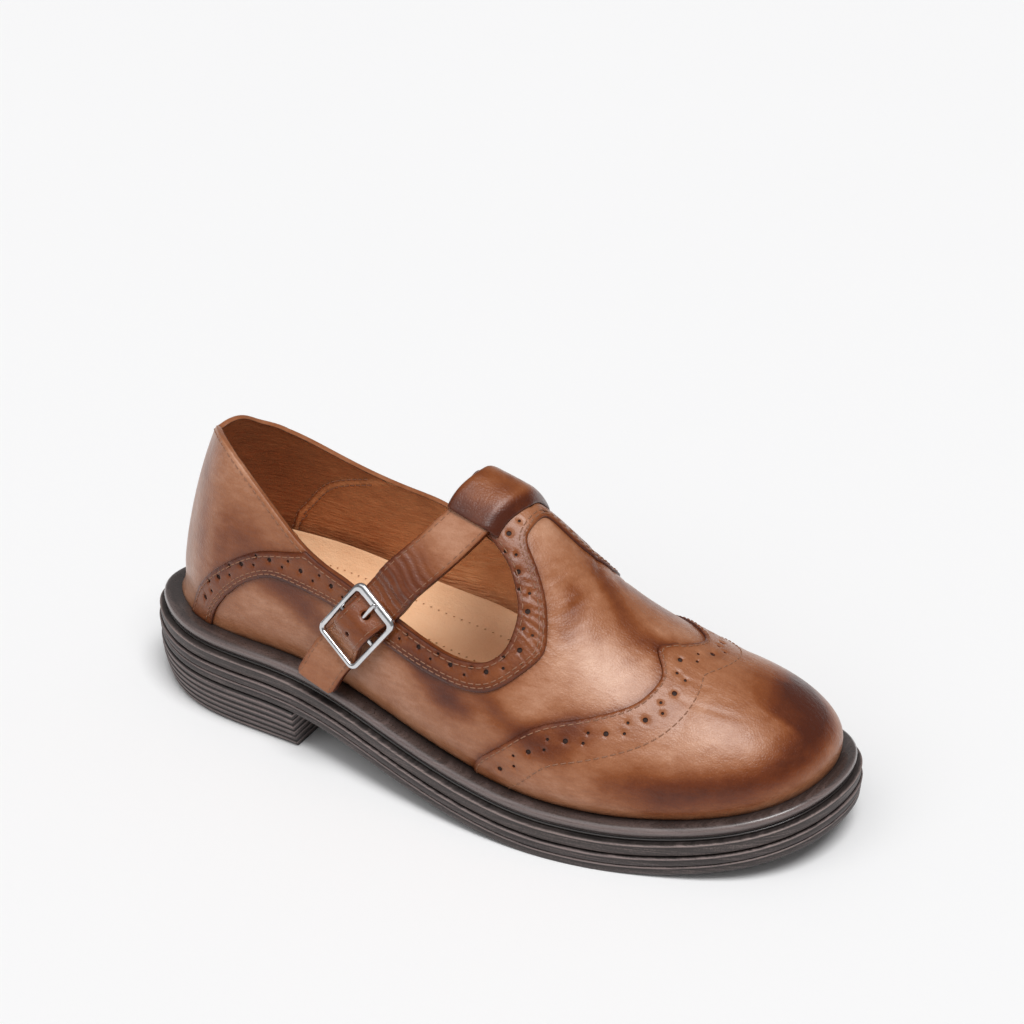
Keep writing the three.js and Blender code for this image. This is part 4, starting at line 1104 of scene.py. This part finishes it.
def sole_turns(count, last_x=SOLE_LENGTH):
    """Turns of the outline at matching places of both sides, from the heel forward and back."""
    whole = last_x == SOLE_LENGTH
    shares = np.linspace(0, 1, count + 1) * (math.pi if whole else math.pi / 2)
    xs = last_x * (1 - np.cos(shares)) / (2 if whole else 1)
    found = []
    for lateral in (True, False):
        low = np.full(count + 1, 0.0 if lateral else 0.5)
        high = low + 0.5
        for _ in range(40):
            middle = (low + high) / 2
            short = (outline_at(middle, 0)[:, 0] < xs) == lateral
            low, high = np.where(short, middle, low), np.where(short, high, middle)
        found.append((low + high) / 2)
    lateral, medial = found
    if whole:
        return np.concatenate([[0.0], lateral[1:-1], [0.5], medial[1:-1][::-1]])
    return np.concatenate([[0.0], lateral[1:], medial[1:][::-1]])


def ring_body(name, rings, tones, material, replaces):
    """Rings joined by quads; the first and last are closed by strips between matching points."""
    n = len(rings[0])
    faces = [(a, d, c, b) for a, b, c, d in tube_faces(len(rings), n)]
    for base, way in ((0, 1), ((len(rings) - 1) * n, -1)):
        for i in range(n // 2):
            face = [base + v for v in dict.fromkeys((i, i + 1, n - i - 1, (n - i) % n))]
            if len(face) > 2:
                faces.append(face[::way])
    add_mesh(name, np.vstack(rings), faces, material, replaces, np.repeat(tones, n))


def sole_layer(name, profile, material, replaces):
    """A layer of the sole from rows of inset, depth below the welt's top, and tone."""
    turns = sole_turns(SOLE_SIDE)
    rings = []
    for inset, depth, _ in profile:
        xy = outline_at(turns, inset)
        z = welt_top(xy[:, 0]) - depth if depth < SOLE_THICKNESS else sole_bottom(xy[:, 0])
        rings.append(np.column_stack([xy, z]))
    ring_body(name, rings, [row[2] for row in profile], material, replaces)


bead = WELT_THICKNESS - 1
# Rows of inset, depth and tone; the tones paint shade where the welt meets the upper and under the bead, and
# a painted highlight along the bead's upper outer side
welt_rows = [(BEAD_INSET + 6.0, 0.25, -0.3), (BEAD_INSET + 2.6, 0.12, 0.0), (BEAD_INSET + 1.4, 0.0, 0.1)]
for k in range(1, 11):
    turn = math.pi * k / 11
    welt_rows.append((BEAD_INSET + 0.6 - 2.1 * math.sin(turn) ** 0.85,
                      0.06 + (bead + 0.2) * (1 - math.cos(turn)) / 2,
                      0.1 + 0.7 * swell(k, 4, 2)))
welt_rows += [(BEAD_INSET - 0.4, bead + 0.35, -0.7), (BEAD_INSET - 0.9, bead + 0.55, -0.4),
              (BEAD_INSET - 0.9, WELT_THICKNESS, -0.4)]
sole_layer("welt_bead", welt_rows, welt_rubber, ["welt"])


def band_rows(upper, lower, bulge):
    """Side of a sole band: a thin proud lip at its top, a flat side, an undercut foot; its tones paint a
    highlight on the lip and shade at its top, under the lip and in the undercut.
    """
    lip = [(1.1, 0.0, -0.6), (0.35, 0.08, 0.3), (-0.05, 0.28, 1.0), (-0.12, 0.50, 0.9), (0.06, 0.75, 0.1),
           (0.16, 1.0, -0.35), (0.08, 1.5, -0.05), (0.0, (lower - upper) / 2, 0.0)]
    foot = [(0.12, -0.75, 0.0), (0.35, -0.35, -0.25), (1.1, -0.02, -0.9)]
    return ([(bulge + inset, upper + depth, tone) for inset, depth, tone in lip]
            + [(bulge + inset, lower + depth, tone) for inset, depth, tone in foot])


outsole_top = WELT_THICKNESS + MIDSOLE_THICKNESS + GAP
outsole_middle = (outsole_top + SOLE_THICKNESS) / 2
outsole_rows = band_rows(outsole_top, outsole_middle, 0.0)[:-1]
outsole_rows += band_rows(outsole_middle, SOLE_THICKNESS - 0.02, 0.3)[:-1] + [(1.4, SOLE_THICKNESS, -0.4)]
sole_layer("midsole_band", band_rows(WELT_THICKNESS + GAP, outsole_top - GAP, 0.4), band_rubber, ["midsole"])
sole_layer("outsole_bands", outsole_rows, sole_rubber, ["outsole"])

HEEL_RIBS = 6
# Rows of a heel rib: share of its height, inset, tone; the tones paint a highlight on each rib's crest and
# shade in its grooves and at the ground
RIB_ROWS = [(0.0, 0.75, -0.8), (0.14, 0.25, -0.2), (0.24, 0.0, 0.9), (0.42, -0.05, 0.6), (0.6, 0.05, 0.2),
            (0.82, 0.15, 0.0), (0.93, 0.45, -0.4)]
heel_levels = [((rib + share) / HEEL_RIBS, groove, tone)
               for rib in range(HEEL_RIBS) for share, groove, tone in RIB_ROWS] + [(1.0, 0.6, -0.4)]
heel_turns = sole_turns(70, HEEL_BREAST)
heel_rings = []
for down, groove, _ in heel_levels:
    x, y = outline_at(heel_turns, 0.2 + HEEL_TAPER * down**2 + groove).T
    x = np.minimum(x, HEEL_BREAST)
    heel_rings.append(np.column_stack([x, y, (welt_top(x) - SOLE_THICKNESS - GAP) * (1 - down)]))
ring_body("heel_block", heel_rings, [level[2] for level in heel_levels], sole_rubber, ["heel"])

# Moulded insole: its rim climbs the walls, most at the medial arch, with rows of fine pricked dots
INSOLE_INSET = FEATHER_INSET + UPPER_WALL + INSOLE_EASE
CUP_FROM, CUP_TO, MEDIAL_FROM, MEDIAL_TO = 0.45, 0.68, -0.12, 0.2
DOT_PITCH, DOT_RADIUS, DOT_SIDES = 3.1, 0.42, 8


def insole_rim(xy):
    """Rise of the rim, bulge of the wall there, and the place on the insole's spine."""
    x, y = xy.T
    back = np.clip(x, HEEL_POLE, TOE_POLE)
    turned = (x - back) ** 2 / ((x - back) ** 2 + y**2)
    side = ridge_column(2, back)
    end = np.where(x > back, TOE_TIP[0], HEEL_BACK[0])
    fade = 1 - smooth_step(x / SOLE_LENGTH, CUP_FROM, CUP_TO)
    rise = fade * (INSOLE_CUP + INSOLE_ARCH * smooth_step(y / BALL_WIDTH, MEDIAL_FROM, MEDIAL_TO))
    return back, rise, fade * (side + (end - side) * turned) * FEATHER_INSET


def insole_ring(turns, extra, flare, up, rise, way):
    base = outline_at(turns, INSOLE_INSET)
    back, rim_rise, rim_flare = insole_rim(base)
    x, y = outline_at(turns, INSOLE_INSET + extra - flare * rim_flare).T
    twin = base[(len(turns) - np.arange(len(turns))) % len(turns), 1]
    spine = (base[:, 1] + twin) / 2
    along = x + (back - x) * way
    z = welt_top(along) + GAP + up * INSOLE_THICKNESS + rise * rim_rise
    return np.column_stack([along, y + (spine - y) * way, z])


def cup_share(way):
    return max(0.0, 1 - way / 0.76) ** 2.2


insole_turns = sole_turns(130)
insole_rows = [(1.0, 0, 0, 0, 0), (0, 0, 0.25, 0, 0), (0, 0.4, 0.4, 0.35, 0), (-0.1, 0.8, 0.6, 0.75, 0),
               (0, 1, 0.8, 0.95, 0), (0.3, 1, 0.93, 1, 0), (INSOLE_ROUND, 1, 1, 1, 0)]
insole_rows += [(INSOLE_ROUND, 1, 1, cup_share(way), way) for way in np.linspace(0.02, 0.97, 40)]
insole_rings = [insole_ring(insole_turns, *row) for row in insole_rows]
insole_tones = [0.30 if row[4] > 0 else 0.42 for row in insole_rows]
ring_body("insole_pad", insole_rings[::-1], insole_tones[::-1], insole_cover, ["insole"])
dot_points = []
for way in (0.24, 0.66):
    line = insole_ring(insole_turns, INSOLE_ROUND, 1, 1, cup_share(way), way)
    line = np.vstack([line, line[:1]])
    arc = arc_of(line)
    for at in np.arange(0, arc[-1], DOT_PITCH):
        spot, ahead = read_rows(at, arc, line), read_rows(at + 0.3, arc, line)
        spot[2] += 0.10 + 0.1 * (ahead[2] - spot[2]) / 0.3
        dot_points += [*(at_zero(circle(DOT_RADIUS, DOT_SIDES)) + spot)]
dot_faces = np.arange(len(dot_points)).reshape(-1, DOT_SIDES)
add_mesh("insole_dots", dot_points, dot_faces, insole_prick)

# Strap: its course over the last and through the buckle
STRAP_WIDTH, STRAP_THICKNESS, STRAP_FLARE, REST, RIDGE_SLEW = 15.5, 2.0, 0.8, 0.12, 0.016
MEDIAL_EASE, TAIL_SLANT = 0.75, 2.2
BUCKLE_LENGTH, BUCKLE_WIRE, PRONG_THICKNESS = 26.0, 2.2, 1.6
TAB_SPAN, LOOP_CENTRE, RIDGE_STRETCH = 0.47, 0.5105, 1.08
OVER_COURSE = [
    (0.4045, 0.80), (0.4240, 0.66), (0.4520, 0.50), (0.4850, 0.34), (0.5110, 0.22),
    (0.5120, 0.11), (0.5120, 0.00), (0.5120, -0.11), (0.5110, -0.22), (0.4790, -0.38),
]
BUCKLE_CENTRE = np.array([0.3955 * SOLE_LENGTH, -0.3840 * BALL_WIDTH, 0.537 * INSTEP_HEIGHT])
BUCKLE_DOWN = unit([-0.59, -0.17, -0.79])
BUCKLE_OUT = unit([-0.055, -0.965, 0.250])
BUCKLE_ACROSS = unit(np.cross(BUCKLE_DOWN, BUCKLE_OUT))


def buckle_frame(across, down, out):
    """Points by distances across, down the strap and out from the buckle's middle plane."""
    across, down, out = [np.asarray(v, float)[..., None] for v in (across, down, out)]
    return BUCKLE_CENTRE + across * BUCKLE_ACROSS + down * BUCKLE_DOWN + out * BUCKLE_OUT


def over_skin(along, side):
    """Point and normal over the last by share of the length and signed share of the way down a section."""
    spots = []
    for ahead, down in ((0, 0), (0.01, 0), (-0.01, 0), (0, 0.01), (0, -0.01)):
        angle = math.pi / 2 * (-1 if side + down < 0 else 1)
        section = section_points((along + ahead) * SOLE_LENGTH, angle)
        place = abs(side + down) * (SECTION_SAMPLES - 1)
        k = min(int(place), SECTION_SAMPLES - 2)
        spots.append(section[k] + (section[k + 1] - section[k]) * (place - k))
    return spots[0], unit(np.cross(spots[1] - spots[2], spots[3] - spots[4]))


UNDER = -(BUCKLE_WIRE / 2 + 1.5 * GAP + STRAP_THICKNESS / 2)
OVER_BAR = BUCKLE_WIRE / 2 + GAP + STRAP_THICKNESS / 2
BUCKLE_COURSE = [
    (-0.95, UNDER + 0.6, 0), (-0.70, UNDER, 0), (-0.50, UNDER, 0), (-0.30, 0.35 * UNDER, 0),
    (-0.13, 0.85 * OVER_BAR, 0), (0.00, OVER_BAR, 0), (0.13, 0.85 * OVER_BAR, 0), (0.30, 0.35 * UNDER, 0),
    (0.50, UNDER, 0), (0.70, UNDER, 0), (0.96, UNDER - 0.4, -0.05), (1.24, UNDER - 0.8, -0.13),
]


def slew(side):
    """Share of the sole length by which the strap and its loop lean toewards over the ridge."""
    return RIDGE_SLEW * float(smooth_step(side, -0.24, 0.02) * (1 - smooth_step(side, 0.25, 0.6)))


def strap_course(count):
    lift = REST + STRAP_THICKNESS / 2 + OVERLAY_STEP
    centres, normals = [], []
    for along, side in OVER_COURSE:
        point, normal = over_skin(along + slew(side), side)
        centres.append(point + normal * (lift + MEDIAL_EASE * float(smooth_step(side, 0.25, 0.6))))
        normals.append(normal)
    for down, out, across in BUCKLE_COURSE:
        centres.append(buckle_frame(across * STRAP_WIDTH, down * BUCKLE_LENGTH, out))
        normals.append(BUCKLE_OUT)
    t = np.linspace(0, 1, count)
    centre, normal = smooth_line(centres, count), smooth_line(normals, count)
    flare_end = len(OVER_COURSE) / (len(centres) - 1)
    width = STRAP_WIDTH + STRAP_FLARE * (1 - smooth_step(t, 0.6 * flare_end, flare_end))
    run = unit(np.gradient(centre, axis=0))
    across = unit(np.cross(run, unit(normal)))
    out = unit(np.cross(across, run))
    slim = np.linalg.norm(centre - BUCKLE_CENTRE, axis=1)
    width = width - 2.4 * np.exp(-((slim / 10) ** 4))
    return centre, across, out, width, arc_of(centre)


COURSE, COURSE_ACROSS, COURSE_OUT, COURSE_WIDTH, COURSE_ARC = strap_course(900)
STRAP_LENGTH = COURSE_ARC[-1]


def strap_at(flat):
    """Points and normals of the strap's middle surface: distance along it, distance across it."""
    along, across = np.asarray(flat, float).T
    centre, side, out = [read_rows(along, COURSE_ARC, rows) for rows in (COURSE, COURSE_ACROSS, COURSE_OUT)]
    return centre + unit(side) * across[:, None], unit(out)


def course_place(point):
    """Distance along the strap nearest to a solid point."""
    return COURSE_ARC[int(np.argmin(np.linalg.norm(COURSE - point, axis=1)))]


bar_at = course_place(buckle_frame(0, 0, OVER_BAR))
prong_at = bar_at - 6.5
spare_at = bar_at + 3.4
turn_point = course_place(over_skin(0.5110, -0.22)[0])


def strap_relief(flat):
    along, across = flat.T
    ripple = np.sin(along * 2.1 + 0.25 * across + 0.9 * np.sin(0.5 * across))
    return (0.26 * swell(along, bar_at - 25, 11) * ripple
            + 0.10 * swell(along, turn_point + 14, 18) * np.sin(along * 0.45 + 0.3 * across)
            + 0.12 * swell(along, prong_at, 2.5) * np.cos(across * 0.5)
            - 0.12 * swell(np.abs(across), STRAP_WIDTH / 2 - 1.1, 0.35))


def strap_tone(flat):
    along, across = flat.T
    # The lighter stretch past turn_point, over the top of the instep, is a painted highlight
    return (0.12 + 0.05 * np.sin(along * 0.13) - 0.16 * swell(along, turn_point + 12, 10)
            + 0.55 * swell(along, bar_at - 26, 14) + 0.30 * swell(along, bar_at - 2, 8)
            + 0.10 * smooth_step(along, bar_at + 14, bar_at + 30)
            + 0.18 * swell(np.abs(across), STRAP_WIDTH / 2, 0.9))


def strap_outline():
    along = np.arange(0, STRAP_LENGTH, 0.7)
    half = np.interp(along, COURSE_ARC, COURSE_WIDTH) / 2 - 1.2 * swell(along, STRAP_LENGTH, 1.5)
    slant = TAIL_SLANT * smooth_step(along, STRAP_LENGTH - 12, STRAP_LENGTH)
    return np.vstack([np.stack([along - slant, -half], -1), np.stack([along, half], -1)[::-1]])


outline = strap_outline()
strap_holes = [circle(1.7, 14) + [prong_at + 0.3, 0], circle(1.0, 14) + [spare_at, 0]]
half_strap = STRAP_THICKNESS / 2
sheet_mesh("strap_band", [outline], half_strap, 0.75, strap_leather, place=strap_at,
           holes=strap_holes, depth=STRAP_THICKNESS, replaces=["strap"], tone=strap_tone, shape=strap_relief)
sheet_mesh("strap_back", [outline], 0.05 - half_strap, 1.5, strap_leather,
           place=strap_at, holes=strap_holes, depth=0.1, tone=lambda flat: np.full(len(flat), 0.3),
           shape=lambda flat: np.zeros(len(flat)), down_face=True, edge_drop=0.0)
strap_stitches = []
along = np.arange(2, STRAP_LENGTH - 1.0, 0.5)
half = np.interp(along, COURSE_ARC, COURSE_WIDTH) / 2 - 1.35
for side in (-half, half):
    strap_stitches += stitch_points(np.stack([along, side], -1), strap_at, half_strap + 0.02, strap_relief)
stitch_mesh("strap_stitches", strap_stitches, 0.34)

# Loop at the end of the T-bar, round the strap
TAB_LEAF = 1.2
leaf = TAB_LEAF / SOLE_LENGTH
tab_half = ((STRAP_WIDTH + STRAP_FLARE) / 2 / RIDGE_STRETCH + GAP) / SOLE_LENGTH
tab_back, tab_front = LOOP_CENTRE - tab_half, LOOP_CENTRE + tab_half
tab_low = GAP + OVERLAY_STEP
tab_rise = OVERLAY_STEP + STRAP_THICKNESS + 2 * REST
tab_under = -UPPER_WALL - GAP
TAB_PROFILE = np.array([
    (tab_front + 2.8 * leaf, tab_low - 0.3), (tab_front + 0.1 * leaf, tab_low - 0.3),
    (tab_front - 0.1 * leaf, tab_rise), (tab_back + 0.2 * leaf, tab_rise), (tab_back, 0.7 * tab_rise),
    (tab_back, tab_under), (tab_back - leaf, tab_under), (tab_back - 1.05 * leaf, 0.6 * tab_rise),
    (tab_back - 0.6 * leaf, tab_rise + 0.75 * TAB_LEAF), (tab_back + 0.3 * leaf, tab_rise + TAB_LEAF),
    (tab_front - 1.2 * leaf, tab_rise + TAB_LEAF), (tab_front + 0.6 * leaf, tab_rise + 0.2 * TAB_LEAF),
    (tab_front + 1.6 * leaf, tab_low + TAB_LEAF), (tab_front + 2.8 * leaf, tab_low + 0.35),
]) * [SOLE_LENGTH, 1]
TAB_ALONGS = tab_back - 2 * leaf + (tab_front - tab_back + 5 * leaf) * np.arange(9) / 8


def tab_outline():
    """The loop's side profile in millimetres, rounded, and the inward direction at each point."""
    dense = []
    for a, b in zip(TAB_PROFILE, np.roll(TAB_PROFILE, -1, 0)):
        steps = max(2, int(np.hypot(*(b - a)) / 0.5))
        dense += [a + (b - a) * s / steps for s in range(steps)]
    line = soften(np.array(dense), 6, True)
    run = np.roll(line, -1, 0) - np.roll(line, 1, 0)
    inward = unit(np.stack([-run[:, 1], run[:, 0]], -1))
    return line, inward * np.sign(signed_area(line))


tab_line, tab_inward = tab_outline()
tab_ends = [(0.5, 0.75), (0.4995, 0.35), (0.494, 0.08)]
tab_sides = [(-side, pull) for side, pull in tab_ends]
tab_sides += [(side, 0.0) for side in np.linspace(-0.485, 0.485, 38)] + tab_ends[::-1]
tab_points, tab_tones = [], []
for side, pull in tab_sides:
    place = side * TAB_SPAN
    spots, normals = zip(*[over_skin(along + slew(place), place) for along in TAB_ALONGS])
    x, lift = (tab_line + tab_inward * pull).T
    along = x / SOLE_LENGTH
    normals = unit(read_rows(along, TAB_ALONGS, normals))
    tab_points.append(read_rows(along, TAB_ALONGS, spots) + normals * lift[:, None])
    # The front face darkens, most at the low lateral end: painted shade where the loop turns down to the vamp
    front = smooth_step(along, tab_front - 1.5 * leaf, tab_front + 1.0 * leaf)
    low_end = smooth_step(-side, 0.15, 0.5)
    streak = 0.04 * np.sin(x * 0.5 + 6 * side) + 0.06 * math.cos(side * 14 + 1)
    tab_tones.append(0.06 + (0.5 + 0.25 * low_end) * front + 0.36 * low_end + streak)
n, last = len(tab_line), (len(tab_sides) - 1) * len(tab_line)
tab_faces = tube_faces(len(tab_sides), n)
end_rim = [tuple(p) for p in tab_line + tab_inward * tab_sides[0][1]]
for face in delaunay_2d_cdt(end_rim, [(k, (k + 1) % n) for k in range(n)], [], 1, 1e-6)[2]:
    tab_faces += [face, [last + v for v in face][::-1]]
add_mesh("tab_loop", np.vstack(tab_points), tab_faces, trim_leather, ["tab"],
         np.concatenate(tab_tones))


# Buckle: a flat-topped frame whose uphill bar is wide, with a bar across it and a prong
def rounded_rectangle(left, right, low, high, radius, per_corner=9):
    turn = math.pi / 2 * (np.arange(4)[:, None] + np.arange(per_corner) / (per_corner - 1))
    x = np.array([[right - radius], [left + radius], [left + radius], [right - radius]])
    y = np.array([[high - radius], [high - radius], [low + radius], [low + radius]])
    return np.stack([x + radius * np.cos(turn), y + radius * np.sin(turn)], -1).reshape(-1, 2)


TOP_BAR, SIDE_BAR, WIRE_SIDES, ROD_SIDES = 3.5, 2.0, 20, 16
half_w, half_l = STRAP_WIDTH / 2 + GAP + BUCKLE_WIRE, BUCKLE_LENGTH / 2
outer = rounded_rectangle(-half_w, half_w, -half_l, half_l, 3.2)
inner = rounded_rectangle(-half_w + SIDE_BAR, half_w - SIDE_BAR, -half_l + TOP_BAR, half_l - SIDE_BAR, 1.2)
middle, half = (outer + inner) / 2, (outer - inner) / 2
frame_points = []
for c, s in circle(1, WIRE_SIDES):
    xy = middle + half * math.copysign(abs(c) ** 0.55, c)
    rise = math.copysign(abs(s) ** 0.75, s) * BUCKLE_WIRE / 2
    frame_points += [*buckle_frame(*xy.T, np.full(len(xy), rise))]
frame_faces = [[v % len(frame_points) for v in face] for face in tube_faces(WIRE_SIDES + 1, len(outer))]


def rod(start, end, radii):
    """Points of a round rod along a line, from shares of its length and radii."""
    run = unit(end - start)
    side = unit(np.cross(run, BUCKLE_OUT))
    shares, sizes = np.transpose(radii)
    return tube_points(start + (end - start) * shares[:, None], side, np.cross(side, run), sizes, ROD_SIDES)


frame_faces += tube_faces(2, ROD_SIDES, len(frame_points), True)
frame_points += [*rod(buckle_frame(1 - half_w, 0, 0), buckle_frame(half_w - 1, 0, 0), [(0, 0.85), (1, 0.85)])]
add_mesh("buckle_frame", frame_points, frame_faces, buckle_metal, ["buckle"])
r = PRONG_THICKNESS / 2
prong_root = buckle_frame(0, -(BUCKLE_WIRE / 2 + r + 1.4 * GAP), 0.4 * BUCKLE_WIRE)
prong_tip = buckle_frame(0, -0.49 * BUCKLE_LENGTH, 1.6 * GAP + r + BUCKLE_WIRE / 2)
prong_radii = [(0, 0.6 * r), (0.03, 0.9 * r), (0.08, r), (0.7, r), (0.92, 0.85 * r), (0.97, 0.65 * r),
               (1.0, 0.3 * r)]
prong_faces = tube_faces(len(prong_radii), ROD_SIDES, 0, True)
add_mesh("prong_pin", rod(prong_root, prong_tip, prong_radii), prong_faces, buckle_metal,
         ["prong"])

# Floor, light and camera
FLOOR = 12.0
floor_nodes = Nodes("studio_floor")
floor_tint = floor_nodes.ramp(floor_nodes.noise(floor_nodes.coordinates(), 0.004, 2), [
    (0.0, (0.90, 0.90, 0.905)), (1.0, (0.91, 0.91, 0.915))])
floor_mesh = bpy.data.meshes.new("studio_floor")
floor_corners = [(-FLOOR, -FLOOR, 0), (FLOOR, -FLOOR, 0), (FLOOR, FLOOR, 0), (-FLOOR, FLOOR, 0)]
floor_mesh.from_pydata(floor_corners, [], [(0, 1, 2, 3)])
floor_mesh.materials.append(floor_nodes.surface(Base_Color=floor_tint, Roughness=0.9))
floor = bpy.data.objects.new("studio_floor", floor_mesh)
bpy.context.scene.collection.objects.link(floor)

world = bpy.data.worlds.new("studio")
world.use_nodes = True
background = world.node_tree.nodes["Background"]
background.inputs["Color"].default_value = (1.0, 1.0, 1.0, 1)
background.inputs["Strength"].default_value = 0.22
bpy.context.scene.world = world


def soft_light(name, direction, angle, strength):
    """A distant light with a wide disc, so that shadows and highlights are soft and even."""
    light = bpy.data.lights.new(name, "SUN")
    light.angle = math.radians(angle)
    light.energy = strength
    lamp = bpy.data.objects.new(name, light)
    facing = unit(direction)
    side = unit(np.cross([0, 1, 0.1], facing))
    lamp.rotation_euler = Matrix(np.stack([side, np.cross(facing, side), facing], -1).tolist()).to_euler()
    bpy.context.scene.collection.objects.link(lamp)


soft_light("overhead", (0.29, -0.22, 0.93), 30, 2.19)
soft_light("front_fill", (-0.15, -0.62, 0.77), 60, 0.75)

camera_data = bpy.data.cameras.new("camera")
camera_data.lens, camera_data.sensor_width = 88.546, 36.0
camera_data.clip_start, camera_data.clip_end = 0.01, 60.0
camera = bpy.data.objects.new("camera", camera_data)
right = np.array([0.881892, 0.47145, 0.000473])
upward = np.array([-0.223661, 0.417497, 0.880722])
back = np.array([0.41502, -0.776808, 0.473632])
turned = Matrix(np.stack([right, upward, back], -1).tolist()).to_4x4()
turned.translation = (0.36226, -0.65804, 0.49764)
camera.matrix_world = turned
bpy.context.scene.collection.objects.link(camera)
bpy.context.scene.camera = camera
bpy.context.scene.view_settings.view_transform = "Standard"
